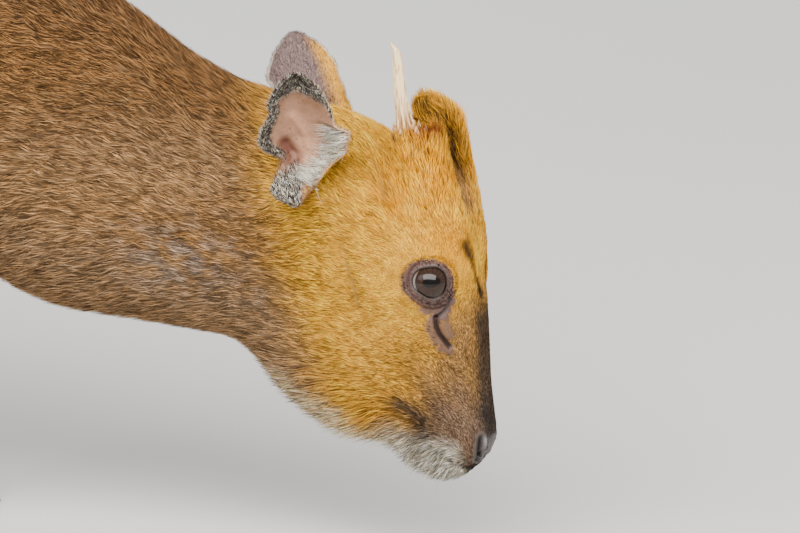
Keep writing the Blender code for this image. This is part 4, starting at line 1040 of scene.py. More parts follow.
def tufts(roots, normals, lie, length, width, lift, segments, curl=0.25):
    """Tapered tufts with a ridge: a root triangle, a middle one for two segments, and a point at the tip.

    A tuft's line leaves the root along the lie, lifted by its angle, and sinks back by curl times the
    square of the share along it. Its width is full at the root, a little more in the middle and nothing
    at the tip.
    """
    count = len(roots)
    side = unit(np.cross(normals, lie))
    lift = np.radians(lift)
    levels = [(0.0, 0.85)] if segments == 1 else [(0.0, 0.8), (0.45, 1.0)]
    rings = []
    for share, size in levels:
        rise = np.sin(lift) * share - curl * np.sin(lift) * share**2
        middle = roots + lie * (length * share * np.cos(lift))[:, None] + normals * (length * rise)[:, None]
        middle = middle - normals * (0.25 * width + 0.12)[:, None] * MM * (share == 0.0)
        half = side * (width * size / 2)[:, None]
        ridge = normals * (0.34 * width * size)[:, None]
        rings += [middle + half * MM, middle + ridge * MM, middle - half * MM]
    rise = np.sin(lift) * (1 - curl)
    tip = roots + lie * (length * np.cos(lift))[:, None] + normals * (length * rise)[:, None]
    points = np.stack([*rings, tip], axis=1)
    template = tuft_faces(segments)
    triangles = (template[None] + (np.arange(count) * points.shape[1])[:, None, None]).reshape(-1, 3)
    return points.reshape(-1, 3), triangles


def tuft_faces(segments):
    """Triangles of one tuft: its root, the sides between its rings, and those up to its tip."""
    faces = [(0, 2, 1)]
    for k in range(segments - 1):
        for p, q in ((0, 1), (1, 2), (2, 0)):
            low, high = 3 * k, 3 * k + 3
            faces += [(low + p, low + q, high + q), (low + p, high + q, high + p)]
    last = 3 * (segments - 1)
    tip = 3 * segments
    faces += [(last, last + 1, tip), (last + 1, last + 2, tip), (last + 2, last, tip)]
    return np.array(faces)


def tuft_patch(segments):
    """Where each corner of a tuft's faces lies on its patch of the map, from 0 to 1."""
    places = [(0.0, 0.0), (0.5, 0.0), (1.0, 0.0)]
    if segments == 2:
        places += [(0.0, 0.5), (0.5, 0.5), (1.0, 0.5)]
    places = np.array([*places, (0.5, 1.0)])
    patch = places[tuft_faces(segments)]
    patch[0] = ((0.0, 0.0), (1.0, 0.0), (0.5, 0.2))
    return patch


def unwrapped(roots, low, high):
    """Place of each root on an unwrap of the skin between two corners: the turn about its middle line,
    the length.

    The length runs along the longest side of the box. The turn is taken about a line through the box's
    middle along that side, so two roots near each other on the skin are near each other on the map.
    """
    size = high - low
    axis = int(np.argmax(size))
    others = [i for i in range(3) if i != axis]
    offset = roots - (low + high) / 2
    turn = np.arctan2(offset[:, others[1]], offset[:, others[0]]) / (2 * math.pi) + 0.5
    along = (roots[:, axis] - low[axis]) / size[axis]
    return np.stack([turn, along], axis=1) * 0.98 + 0.01


def areas(points, triangles):
    """Area of each triangle, in square mm."""
    corners = points[triangles]
    across = np.cross(corners[:, 1] - corners[:, 0], corners[:, 2] - corners[:, 0])
    return np.linalg.norm(across, axis=1) / 2 / MM**2


def spread_over(values, triangles, weights):
    """Values of the points, spread over the triangles by the weights of their corners."""
    return (values[triangles] * weights[:, :, None]).sum(1)


def planted(points, triangles, normals, density, rng):
    """Roots drawn over a surface: density is how many for each square mm, given for each triangle."""
    counts = np.floor(areas(points, triangles) * density + rng.random(len(triangles))).astype(int)
    chosen = np.repeat(np.arange(len(triangles)), counts)
    a, b = rng.random((2, len(chosen)))
    over = a + b > 1
    a[over], b[over] = 1 - a[over], 1 - b[over]
    weights = np.stack([1 - a - b, a, b], axis=1)
    roots = spread_over(points, triangles[chosen], weights)
    return roots, unit(spread_over(normals, triangles[chosen], weights))


def turned_lie(direction, normals, places, rng, spread):
    """The direction laid onto the surface, swayed in locks by smooth noise and a little by chance."""
    flat = unit(direction - normals * (direction * normals).sum(1)[:, None])
    side = np.cross(normals, flat)
    sway = 0.22 * waves(places, 9.0, 21) + 0.13 * waves(places, 30.0, 22) + rng.normal(0, spread, len(places))
    return unit(flat + side * sway[:, None])


def tuft_colours(colour, ticks, places, segments, rng):
    """Colours from root to tip: a root darkened as painted shade, clean middle, and a paler or a dark tip.

    Some tufts are paler or redder.
    """
    count = len(colour)
    patchy = 0.12 * waves(places, 5.0, 31) + 0.11 * waves(places, 13.0, 32)
    lightness = np.clip(1 + 0.23 * rng.normal(size=count) + patchy, 0.4, 1.6)
    colour = colour * lightness[:, None]
    warmth = 0.05 * rng.normal(size=count)
    colour = colour * np.stack([1 + warmth, np.ones(count), 1 - 1.5 * warmth], axis=1)
    ticked = (rng.random(count) < ticks)[:, None]
    light = colour.mean(1, keepdims=True)
    # Painted shade: each tuft's root is darkened, darker hair more so, for the shade deep in the coat
    root = colour * (0.34 + 0.5 * light)
    middle = np.where(ticked, colour * 0.85, colour)
    tip = np.where(ticked, colour * 0.08, colour * 1.2)
    rings = [root] * 3 if segments == 1 else [root] * 3 + [middle] * 3
    return np.clip(np.stack([*rings, tip], axis=1).reshape(-1, 3), 0, 1)


def add_coat(name, roots, points, triangles, colours, segments):
    """A piece of the coat, with its colours and the map on which each tuft is a small patch at its root's
    place.
    """
    mesh = surface_mesh(name, points, triangles)
    paint(mesh, colours)
    low, high = roots.min(0), roots.max(0)
    corner = unwrapped(roots, low, high)
    patch = (tuft_patch(segments) - 0.5) * PATCH_SIZE
    uv = corner[:, None, None, :] + patch[None]
    mesh.uv_layers.new(name="OFBake").uv.foreach_set("vector", uv.astype(np.float32).ravel())
    return add_piece(name, mesh, hair_finish())


def triangle_middles(surface):
    """The middle of each triangle of a surface, in metres and from the nose."""
    middles = surface[0][surface[1]].mean(1)
    return middles, from_nose(middles)


def coat_piece(name, surface, kept, seed, context, least=0.0):
    """Plants the coat over the triangles kept, by the comb and the markings, thinly where bare."""
    coat, skin = context.scene.muntjac_coat, context.scene.muntjac_skin
    points, triangles, normals = surface
    middles, places = triangle_middles(surface)
    triangles, middles, places = triangles[kept], middles[kept], places[kept]
    _, length, width, _ = combed(places)
    density = coat.cover / (length * width * 0.55) * np.maximum(1 - bareness(middles, places), least)
    rng = np.random.default_rng(coat.seed + seed)
    roots, up = planted(points, triangles, normals, density, rng)
    places = from_nose(roots)
    direction, length, width, lift = combed(places)
    direction[:, 1] *= np.where(roots[:, 1] < 0, -1, 1)
    lie = turned_lie(direction, up, places, rng, 0.16)
    count = len(roots)
    length = length * rng.uniform(0.75, 1.2, count)
    width = width * rng.uniform(0.75, 1.25, count)
    lift = lift * rng.uniform(0.7, 1.35, count)
    made, faces = tufts(roots, up, lie, length * MM, width, lift, 1)
    colour, _ = markings(roots, skin, coat)
    colours = tuft_colours(colour, ticking(places), places, 1, rng)
    return add_coat(name, roots, made, faces, colours, 1)


def piece_surface(name):
    """A piece as arrays, read back from its mesh."""
    points, _, triangles = read_mesh(bpy.data.objects[name].data)
    return points, triangles, vertex_normals(points, triangles)


def bristles(name, surface, kept, density, direction, size, colour, seed):
    """Plants single stiff hairs over part of a surface.

    Their size is length and width in mm, and lift in degrees.
    """
    points, triangles, normals = surface
    triangles = triangles[kept]
    rng = np.random.default_rng(seed)
    roots, up = planted(points, triangles, normals, np.full(len(triangles), density), rng)
    count = len(roots)
    length, width, lift = size
    lie = turned_lie(unit(np.broadcast_to(direction, up.shape)), up, from_nose(roots), rng, 0.30)
    length = length * rng.uniform(0.6, 1.2, count)
    lift = lift * rng.uniform(0.8, 1.2, count)
    made, faces = tufts(roots, up, lie, length * MM, np.full(count, width), lift, 2)
    colours = tuft_colours(np.tile(colour, (count, 1)), 0.0, from_nose(roots), 2, rng)
    add_coat(name, roots, made, faces, colours, 2)


def ahead_of_neck(places):
    """Positive on the head: distance in mm before the plane where the neck ends."""
    return ((places[:, 0] + 152) * 139 - (places[:, 2] - 61) * 35) / 143.3


def ahead_of_trunk(places):
    """Positive on the head and neck: distance in mm before the plane where the trunk begins."""
    return ((places[:, 0] + 300) * 200 - (places[:, 2] - 96) * 24) / 201.4


def leg_share(places):
    """1 on the legs below the trunk."""
    fore = (places[:, 2] < 100) & (places[:, 0] < -300) & (places[:, 0] > -500)
    hind = (places[:, 2] < 145) & (places[:, 0] < -620)
    return fore | hind


def lid_hair(points, side):
    """True on the outside of the lid, clear of its wet edge."""
    beyond, height, _ = eye_place(points, side)
    return (beyond > 1.3) & (beyond < 7.0) & (height > 0)


def ear_frame(side):
    """The ear's lowest place and its directions: along it, out of its mouth and towards its rear edge."""
    sweep = 0.0 if side < 0 else 0.46
    shift = 0.0 if side < 0 else 6.0
    along = unit(np.array((0.05 - sweep, side * 0.32, 0.92)))
    mouth = np.array((0.22 - sweep, side * 0.98, -0.30))
    mouth = unit(mouth - along * (mouth @ along))
    rear = np.cross(along, mouth)
    rear = unit(rear) * (-1 if rear[0] > 0 else 1)
    root = NOSE_TIP + np.array((-95.0 - shift, side * 40.0, 160.0)) * MM
    return root - along * EAR_SUNK * MM, along, mouth, rear


def ear_sheet(side, settings, share, across):
    """Places on the ear's middle sheet, for a share of its length and a place across it from -1 to 1 at
    the rear.

    The section is an arc whose chord ends on the two edges of the outline. It bends most in the lower
    half, where it makes the cup, and opens into a shallow dish above. The front edge's lower flange
    stands out towards the mouth.
    """
    root, along, mouth, rear = ear_frame(side)
    front = np.interp(share, EAR_LEVELS, EAR_FRONT)
    rear_half = np.interp(share, EAR_LEVELS, EAR_REAR)
    if side > 0:
        front, rear_half = np.minimum(front, 18.0), rear_half * 1.35
    half = np.where(across < 0, front, rear_half) * MM
    half = half * (1 + 0.02 * np.sin(share * 41 + 2 * across) * ramp(np.abs(across), 0.6, 1.0))
    spread = np.radians(80.0 - 30.0 * ramp(share, 0.30, 0.75))
    angle = spread * across
    chord = half * np.sin(angle) / np.sin(spread)
    deep = np.interp(share, EAR_DEPTH_LEVELS, EAR_DEPTHS) * MM
    stand = 9.0 * MM * (1 - ramp(share, 0.20, 0.34))
    dish = deep * (np.cos(angle) - np.cos(spread)) / (1 - np.cos(spread))
    height = settings.length * share
    fold = 1.6 * MM * bump(path_distance_flat(height / MM - EAR_SUNK, chord / MM, EAR_RIDGE), 2.2)
    hole = 5.0 * MM * bump(path_distance_flat(height / MM - EAR_SUNK, chord / MM, EAR_CANAL), 4.0)
    flange = 3.0 * MM * ramp(-across, 0.6, 1.0) * bump(share - 0.50, 0.12)
    curl = -1.8 * MM * ramp(np.abs(across), 0.86, 1.0) * ramp(share, 0.58, 0.72)
    out = (fold - hole - dish + stand + flange + curl)[..., None]
    return root + along * height[..., None] + rear * chord[..., None] + mouth * out


def path_distance_flat(high, wide, path):
    """Distance in the ear's plane, in mm, from a path given as pairs of height over its root and place to
    the rear.
    """
    places = np.stack([high.ravel(), wide.ravel()], axis=1)
    return path_distance(places, path).reshape(high.shape)


def ear_shell(side, settings, levels=90, columns=64):
    """The ear as closed rings: each goes over the inside from the front edge to the rear, and back over the
    outside.
    """
    share = np.linspace(EAR_LEVELS[0], 1, levels)
    across = np.linspace(-1, 1, columns)
    grid_share, grid_across = np.meshgrid(share, across, indexing="ij")
    mouth = ear_frame(side)[2]
    sheet = ear_sheet(side, settings, grid_share, grid_across)
    rise = np.gradient(sheet, axis=0)
    go = np.gradient(sheet, axis=1)
    normal = unit(np.cross(rise, go))
    normal = normal if (normal @ mouth).mean() > 0 else -normal
    to_edge, to_tip = ramp(np.abs(grid_across), 0.8, 1.0), ramp(grid_share, 0.8, 1.0)
    thin = settings.wall * (0.5 - 0.2 * to_edge) * (1 - 0.4 * to_tip)
    inside = sheet + normal * thin[..., None]
    outside = sheet - normal * thin[..., None]
    rings = np.concatenate([inside, outside[:, ::-1]], axis=1)
    faces = ring_faces(levels, 2 * columns)
    points = rings.reshape(-1, 3)
    shares = np.concatenate([grid_share, grid_share[:, ::-1]], axis=1).ravel()
    acrosses = np.concatenate([grid_across, grid_across[:, ::-1]], axis=1).ravel()
    within = np.concatenate([np.ones_like(grid_share), np.zeros_like(grid_share)], axis=1).ravel()
    if signed_volume(points, faces) < 0:
        faces = faces[:, ::-1]
    return points, faces, shares, acrosses, within


def signed_volume(points, triangles):
    """Six times the volume inside, negative where the faces point inwards."""
    a, b, c = (points[triangles[:, i]] for i in range(3))
    return float((a * np.cross(b, c)).sum())


def ear_colours(points, side, share, across, within, ear, coat):
    """Inside: pink skin, redder in the canal, with painted shade there and towards the top, a painted
    highlight along the ridge, freckles and a grizzled rim.

    Outside: thin grey hair.
    """
    inside, outside = np.array(ear.inside), np.array(ear.outside)
    cream, grey, black = np.array(coat.cream), np.array(coat.grey), np.array(coat.black)
    mm = (points - NOSE_TIP) / MM
    root, along, _, rear = ear_frame(side)
    flat = np.stack([(points - root) @ along / MM - EAR_SUNK, (points - root) @ rear / MM], axis=1)
    # Painted shade: the inside of the ear darkens towards its top
    shaded = ramp(flat[:, 0], 26, 50) * np.clip(0.9 + 0.3 * waves(mm, 14.0, 40), 0, 1)
    pink = mixed(inside, inside * (0.58, 0.50, 0.40), shaded)
    # Painted highlight: paler pink along the raised ridge
    pink = mixed(pink, inside * (1.20, 1.10, 1.05), 0.8 * bump(path_distance(flat, EAR_RIDGE), 4.0))
    # Partly painted shade: dark red in the hollow of the canal, where the skin is also redder
    pink = mixed(pink, np.array((0.13, 0.035, 0.022)), 0.92 * bump(path_distance(flat, EAR_CANAL[:2]), 4.6))
    pink = mixed(pink, inside * (0.8, 0.75, 0.8), 0.5 * ramp(waves(mm, 6.0, 39), 0.2, 1.2))
    freckle = ramp(waves(mm, 4.2, 41), 1.75, 2.1)
    pink = mixed(pink, black * 2, 0.85 * freckle)
    rim = ear_rim(share, across)
    grizzle = mixed(grey * 0.45, cream * 0.7, np.clip(0.16 + 0.22 * waves(mm, 2.4, 43), 0, 1))
    pink = mixed(pink, grizzle, rim)
    low = 1 - ramp(share, 0.22, 0.30)
    pink = mixed(pink, np.array(coat.brown) * 0.7, low * (1 - ramp(across, -0.45, -0.15)))
    pink = mixed(pink, grizzle, low * ramp(across, -0.35, 0.0))
    back = mixed(outside, np.array(coat.brown), 1 - ramp(share, 0.12, 0.55))
    golden = ramp(-across, 0.25, 0.75) * (1 - ramp(share, 0.80, 0.99))
    back = mixed(back, np.array(coat.gold) * 0.95, 0.85 * golden)
    edge = ramp(np.abs(across), 0.86, 0.97) * ramp(share, 0.35, 0.5)
    back = mixed(back, cream * 0.8, 0.65 * edge)
    return np.clip(np.where(within[:, None] > 0.5, pink, back), 0, 1)


def ear_rim(share, across):
    """1 on the grizzled edge inside the ear: wide at the tip and the rear, thin in front."""
    rear = ramp(across, 0.52, 0.72) * ramp(share, 0.28, 0.36)
    tip = ramp(share + 0.10 * np.abs(across), 0.80, 0.88)
    front = ramp(-across, 0.84, 0.95) * ramp(share, 0.60, 0.70)
    return np.maximum(np.maximum(rear, tip), front)


def antler_shape(settings):
    """A splinter of antler, swept up a curve that hooks back: its radius is fluted, deep at the base and
    fading up.
    """
    box_low, box_high = (np.array(corner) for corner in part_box("antler_right"))
    top, base = box_high[2], box_low[2]
    seat = np.array(((box_low[0] + box_high[0]) / 2 + 0.0005, (box_low[1] + box_high[1]) / 2, base))
    levels, count = 64, 72
    t = np.linspace(0, 1, levels)
    height = top - base
    lean = 0.0042 * ramp(t, -0.2, 0.6) + 0.0012 * ramp(t, 0.5, 1.0)
    hook = 0.0030 * ramp(t, 0.86, 1.0) ** 1.5
    x = seat[0] - lean - hook
    y = seat[1] - 0.0012 * t
    centre = np.stack([x, y, seat[2] + height * t], axis=1)
    body = np.interp(t, ANTLER_LEVELS, ANTLER_BODY)
    turn = np.linspace(0, 2 * math.pi, count, endpoint=False)
    fading = 0.20 * np.exp(-t * 6.0)[:, None]
    flute = fading * np.cos(9 * turn + 0.6) + 0.05 * np.cos(5 * turn + 3 * t[:, None])
    radius = settings.antler_radius * body[:, None] * (1 + flute)
    wide = np.array((1.0, 0.0, 0.0))
    deep = np.array((0.0, 1.0, 0.0))
    ring = wide * (radius * np.cos(turn))[..., None] + deep * (0.82 * radius * np.sin(turn))[..., None]
    points = (centre[:, None, :] + ring).reshape(-1, 3)
    return points, ring_faces(levels, count), np.repeat(t, count), flute.ravel()


def burr_chip(number, place, width, height, levels=7, count=14):
    """A blunt splinter left of the burr: its radius falls with the height's square and is broken by a few
    waves.
    """
    foot = NOSE_TIP + np.array(place) * MM
    t = np.linspace(0, 1, levels)[:, None]
    turn = np.linspace(0, 2 * math.pi, count, endpoint=False)[None]
    broken = 1 + 0.22 * np.cos(3 * turn + number) + 0.12 * np.cos(5 * turn + 4 * t)
    radius = width / 2 * (1.02 - t**2) * broken
    lean = 0.3 * width * np.array((math.cos(2 * number), math.sin(2 * number)))
    rise = (height * t - 1.5) * np.ones_like(turn)
    ring = np.stack([radius * np.cos(turn) + lean[0] * t, radius * np.sin(turn) + lean[1] * t, rise], axis=-1)
    return (foot + ring * MM).reshape(-1, 3), ring_faces(levels, count)


class MUNTJAC_OT_stage(bpy.types.Operator):
    """Puts up the camera, the floor and the lights"""

    bl_idname = "muntjac.stage"
    bl_label = "Stage"

    def execute(self, context):
        stage = context.scene.muntjac_stage
        az, el = stage.azimuth, stage.elevation
        right = Vector((math.cos(az), math.sin(az), 0.0))
        back = Vector((math.sin(az) * math.cos(el), -math.cos(az) * math.cos(el), math.sin(el)))
        up = back.cross(right)
        target = Vector(stage.target)
        data = bpy.data.cameras.new("camera")
        data.sensor_width = 36.0
        data.lens = data.sensor_width * stage.distance / stage.view_width
        camera = bpy.data.objects.new("camera", data)
        turn = Matrix((right, up, back)).transposed().to_4x4()
        camera.matrix_world = Matrix.Translation(target + back * stage.distance) @ turn
        context.scene.collection.objects.link(camera)
        context.scene.camera = camera
        corners = FLOOR_HALF * np.array([(-1, -1, 0), (1, -1, 0), (1, 1, 0), (-1, 1, 0)], float)
        mesh = surface_mesh("floor", corners, split_quads(np.array([[0, 1, 2, 3]])))
        mesh.materials.append(floor_finish(stage))
        floor = bpy.data.objects.new("floor", mesh)
        context.scene.collection.objects.link(floor)
        for name, power, size, place, colour in (
            ("key", stage.key, (4.2, 1.6), (0.60, -1.70, 2.05), (1.0, 0.97, 0.93)),
            ("side_near", stage.fill, (1.8, 1.8), (-2.4, -1.7, 1.9), (0.95, 0.97, 1.0)),
            ("side_far", stage.fill * 1.3, (1.8, 1.8), (-0.8, 2.2, 1.6), (0.95, 0.97, 1.0)),
        ):
            self.light(context, name, power, size, Vector(place), target, colour)
        world = bpy.data.worlds.new("studio")
        world.use_nodes = True
        world.node_tree.nodes["Background"].inputs["Color"].default_value = (0.97, 0.98, 1.0, 1.0)
        world.node_tree.nodes["Background"].inputs["Strength"].default_value = 0.70
        context.scene.world = world
        return {"FINISHED"}

    def light(self, context, name, power, size, place, target, colour):
        data = bpy.data.lights.new(name, "AREA")
        data.energy = power
        data.shape = "RECTANGLE"
        data.size, data.size_y = size
        data.color = colour
        lamp = bpy.data.objects.new(name, data)
        turn = (place - target).to_track_quat("Z", "Y").to_matrix().to_4x4()
        lamp.matrix_world = Matrix.Translation(place) @ turn
        context.scene.collection.objects.link(lamp)


class MUNTJAC_OT_skin(bpy.types.Operator):
    """Lays one skin over the flesh, with its folds, and the lids round the eyes"""

    bl_idname = "muntjac.skin"
    bl_label = "Skin and lids"

    def execute(self, context):
        skin, coat = context.scene.muntjac_skin, context.scene.muntjac_coat
        points, edges, triangles = even_flesh(skin)
        places = from_nose(points)
        top = ramp(places[:, 2], 183, 192) * ramp(points[:, 1], 0.0, 0.006) * ramp(places[:, 0], -60, -50)
        tail = ramp(-places[:, 0], 818, 830)
        points = smoothed(points, edges, 0.5, 12)
        points = smoothed(points, edges, 0.6 * np.maximum(top, tail), 20, push=0.4)
        normals = vertex_normals(points, triangles)
        _, length, _, _ = combed(places)
        points = points - normals * (length * skin.depth * MM)[:, None]
        points = smoothed(points, edges, 0.4, 3)
        pit = 1 - ramp(path_distance(from_nose(points), GLAND_SLIT), 4.0, 8.0)
        points = smoothed(points, edges, 0.6 * pit, 30, push=0.3)
        points = carved(points, vertex_normals(points, triangles))
        tree = BVHTree.FromPolygons(points.tolist(), triangles.tolist())
        lids = hide_finish("lid_skin", 1.0)
        for word, side in SIDES.items():
            ring, faces = lid_piece(side, tree)
            mesh = surface_mesh(f"lids_{word}", ring, faces)
            colour, bare = self.lid_colours(ring, side, skin, coat)
            paint(mesh, colour)
            mark(mesh, "bare", bare)
            add_piece(f"lids_{word}", mesh, lids)
        points = dented(points)
        mesh = surface_mesh("skin", points, triangles)
        colour, bare = markings(points, skin, coat)
        # Painted shade: the skin under the coat is darkened to 0.4 of its colour for the shade between the
        # tufts, bare skin keeps its colour
        paint(mesh, mixed(colour * 0.40, colour, bare))
        mark(mesh, "bare", bare)
        add_piece("skin", mesh, hide_finish("hide", 0.6), FLESH)
        return {"FINISHED"}

    def lid_colours(self, points, side, skin, coat):
        """Black along the edge, purplish brown on the plate, painted shade along the fold, and the coat's own
        colour further out.
        """
        colour, bare = markings(points, skin, coat)
        beyond, _, _ = eye_place(points, side)
        colour = mixed(colour, np.array(coat.black), 0.92 * (1 - ramp(beyond, 0.9, 2.3)))
        # Painted shade: darker along the lid's fold, 3.6 mm beyond the opening
        fold = bump(beyond - 3.6, 0.5)
        colour = mixed(colour, np.array(coat.black) * 1.5, 0.4 * fold)
        return colour, bare


class MUNTJAC_OT_eyes(bpy.types.Operator):
    """Makes the eyeballs, with iris, pupil and a bulging cornea"""

    bl_idname = "muntjac.eyes"
    bl_label = "Eyes"

    def execute(self, context):
        settings = context.scene.muntjac_eye
        wet = eye_finish()
        for word, side in SIDES.items():
            points, triangles, colours = self.ball(side, settings)
            mesh = surface_mesh(f"eyeball_{word}", points, triangles)
            paint(mesh, colours)
            add_piece(f"eyeball_{word}", mesh, wet, [f"eye_{word}"])
        return {"FINISHED"}

    def ball(self, side, settings, rings=72, count=96):
        """A ball whose radius grows by a smooth cap over the iris. Angle from the gaze by turn round it."""
        centre, out, forward, up = eye_frame(side)
        gaze = unit(out * math.cos(settings.turn) + (forward * 0.8 + up * 0.6) * math.sin(settings.turn))
        ahead = unit(forward - gaze * (forward @ gaze))
        above = unit(up - gaze * (up @ gaze) - ahead * (up @ ahead))
        angle = np.linspace(0.004, math.pi - 0.004, rings)[:, None]
        turn = np.linspace(0, 2 * math.pi, count, endpoint=False)[None]
        cap = np.maximum(0.0, 1 - (angle / settings.iris_edge) ** 2) ** 1.5
        radius = (EYE_RADIUS - 0.05 + CORNEA_RISE * cap) * MM
        across = ahead * np.cos(turn)[..., None] + above * np.sin(turn)[..., None]
        along = gaze * (radius * np.cos(angle))[..., None]
        points = centre + (along + across * (radius * np.sin(angle))[..., None])
        wide = angle * np.cos(turn) / PUPIL_WIDE
        high = angle * np.sin(turn) / PUPIL_HIGH
        pupil = 1 - ramp(np.hypot(wide, high), 0.9, 1.05)
        iris, white = np.array(settings.iris), np.array(settings.white)
        rays = 0.85 + 0.25 * np.sin(turn * 46 + 5 * np.sin(turn * 7)) * np.ones_like(angle)
        colour = mixed(iris * rays[..., None], iris * 0.08, pupil)
        limbus = bump(angle - settings.iris_edge, 0.05) * np.ones_like(turn)
        outer = ramp(angle, settings.iris_edge - 0.02, settings.iris_edge + 0.05) * np.ones_like(turn)
        crescent = ramp(-0.8 * np.cos(turn) - 0.6 * np.sin(turn), -0.2, 0.6) * np.ones_like(angle)
        colour = mixed(colour, mixed(iris * 3, white, crescent), outer)
        colour = mixed(colour, iris * 0.15, 0.9 * limbus)
        points, colour = points.reshape(-1, 3), colour.reshape(-1, 3)
        triangles = ring_faces(rings, count)
        if signed_volume(points - centre, triangles) < 0:
            triangles = triangles[:, ::-1]
        return points, triangles, np.clip(colour, 0, 1)


class MUNTJAC_OT_ears(bpy.types.Operator):
    """Makes the ears, with their folds, and the short hair on them"""

    bl_idname = "muntjac.ears"
    bl_label = "Ears"

    def execute(self, context):
        ear, coat = context.scene.muntjac_ear, context.scene.muntjac_coat
        finish = hide_finish("ear_hide", 0.5)
        for word, side in SIDES.items():
            points, triangles, share, across, within = ear_shell(side, ear)
            mesh = surface_mesh(f"ear_shell_{word}", points, triangles)
            colours = ear_colours(points, side, share, across, within, ear, coat)
            paint(mesh, colours)
            mark(mesh, "bare", within * 0.8)
            add_piece(f"ear_shell_{word}", mesh, finish, [f"ear_{word}"])
            self.hair(word, side, (points, triangles, share, across, within), colours, coat)
        return {"FINISHED"}

    def hair(self, word, side, shell, colours, coat):
        """Short hair on the back and the rim, and the long white hair that crosses the mouth from the
        front edge.
        """
        points, triangles, share, across, within = shell
        _, along, mouth, rear = ear_frame(side)
        rng = np.random.default_rng(coat.seed + SEEDS["ears"] + side)
        normals = vertex_normals(points, triangles)
        extra = np.column_stack([share, across, within, colours])
        middle = extra[triangles].mean(1)
        low = 1 - ramp(middle[:, 0], 0.22, 0.30)
        rim = np.maximum(ear_rim(middle[:, 0], middle[:, 1]), low * ramp(middle[:, 1], -0.35, 0.0))
        level = (1 - ramp(middle[:, 0], 0.56, 0.60)) * ramp(middle[:, 0], 0.16, 0.24)
        fringe = ramp(-middle[:, 1], 0.42, 0.75) * level
        inner = middle[:, 2] > 0.5
        density = np.where(inner, 2.8 * np.maximum(rim, low) + 2.0 * fringe + 0.04, 2.2)
        counts = np.floor(areas(points, triangles) * density + rng.random(len(triangles))).astype(int)
        chosen = np.repeat(np.arange(len(triangles)), counts)
        weights = rng.dirichlet((1, 1, 1), len(chosen))
        roots = spread_over(points, triangles[chosen], weights)
        up = unit(spread_over(normals, triangles[chosen], weights))
        values = middle[chosen]
        long = (values[:, 2] > 0.5) & (fringe[chosen] > 0.3) & (rng.random(len(chosen)) < 0.8)
        sweep = along + rear * np.where(values[:, 1] < 0, 0.5, -0.2)[:, None] * (values[:, 2] > 0.5)[:, None]
        fan = (values[:, 0] - 0.42)[:, None] * 3.0
        direction = np.where(long[:, None], rear * 0.9 - along * fan + mouth * 0.25, sweep)
        edge = rim[chosen] * (values[:, 2] > 0.5)
        direction = direction + (up * 0.25 + rear * np.sign(values[:, 1])[:, None] * 0.35) * edge[:, None]
        places = (roots - NOSE_TIP) / MM
        lie = turned_lie(unit(direction), up, places, rng, 0.30)
        length = np.where(long, rng.uniform(*FLANGE_HAIR, len(roots)), rng.uniform(*RIM_HAIR, len(roots)))
        length = np.where((values[:, 2] < 0.5) & (values[:, 0] < 0.5), length * 1.6, length)
        width = np.where(long, 0.42, rng.uniform(0.35, 0.65, len(roots)))
        lift = np.where(long, rng.uniform(14, 34, len(roots)), rng.uniform(10, 28, len(roots)))
        made, faces = tufts(roots, up, lie, length * MM, width, lift, 1)
        cream, dark = np.array(coat.cream), np.array(coat.grey)
        base = values[:, 3:6]
        frost = rng.random(len(roots))
        grizzled = np.where((frost < 0.17 + 0.25 * (values[:, 0] < 0.3))[:, None], cream, dark * 0.32)
        base = np.where((edge > 0.4)[:, None], grizzled, base)
        base = np.where(long[:, None], cream * rng.uniform(0.9, 1.35, (len(roots), 1)), base)
        colours = tuft_colours(base, 0.08, places, 1, rng)
        add_coat(f"coat_ear_{word}", roots, made, faces, colours, 1)


class MUNTJAC_OT_antler(bpy.types.Operator):
    """Makes the broken antler on the right pedicle and the splinters of its burr"""

    bl_idname = "muntjac.antler"
    bl_label = "Antler"

    def execute(self, context):
        horn = context.scene.muntjac_horn
        points, triangles, t, flute = antler_shape(horn)
        mesh = surface_mesh("antler_splinter", points, triangles)
        ivory = np.array(horn.ivory)
        stain = ramp(-t, -0.42, -0.02)
        colour = mixed(ivory, ivory * (0.30, 0.16, 0.08), 0.97 * stain * ramp(-flute, -0.09, 0.03))
        tip = ramp(t, 0.90, 0.99)
        colour = mixed(colour, ivory * (0.55, 0.42, 0.30), 0.5 * tip)
        colour = mixed(colour, ivory * (0.62, 0.46, 0.30), 0.8 * ramp(-t, -0.10, 0.0))
        paint(mesh, np.clip(colour, 0, 1))
        bone = bone_finish()
        add_piece("antler_splinter", mesh, bone, ["antler_right"])
        chips = [burr_chip(number, *chip) for number, chip in enumerate(BURR_CHIPS)]
        points = np.concatenate([chip[0] for chip in chips])
        triangles = np.concatenate([chip[1] + number * len(chip[0]) for number, chip in enumerate(chips)])
        mesh = surface_mesh("burr_chips", points, triangles)
        shade = 0.75 + 0.35 * waves((points - NOSE_TIP) / MM, 2.0, 61)
        paint(mesh, np.clip(ivory * (0.70, 0.52, 0.36) * shade[:, None], 0, 1))
        add_piece("burr_chips", mesh, bone)
        return {"FINISHED"}


class MUNTJAC_OT_hooves(bpy.types.Operator):
    """Gives the hooves and dewclaws their horn"""

    bl_idname = "muntjac.hooves"
    bl_label = "Hooves"

    def execute(self, context):
        horn = horn_finish(context.scene.muntjac_horn)
        for name, node in frame["nodes"].items():
            if any(word in name for word in HOOF_WORDS):
                for slot in node.material_slots:
                    slot.material = horn
        return {"FINISHED"}


class MUNTJAC_OT_coat_head(bpy.types.Operator):
    """Plants the short coat of the head"""

    bl_idname = "muntjac.coat_head"
    bl_label = "Coat of the head"

    def execute(self, context):
        surface = piece_surface("skin")
        middles, places = triangle_middles(surface)
        for word, side in SIDES.items():
            kept = (ahead_of_neck(places) > 0) & (middles[:, 1] * side >= 0)
            coat_piece(f"coat_head_{word}", surface, kept, SEEDS["head"] + side, context)
            lids = piece_surface(f"lids_{word}")
            kept = lid_hair(triangle_middles(lids)[0], side)
            coat_piece(f"coat_lids_{word}", lids, kept, SEEDS["lids"] + side, context, 0.22)
        return {"FINISHED"}


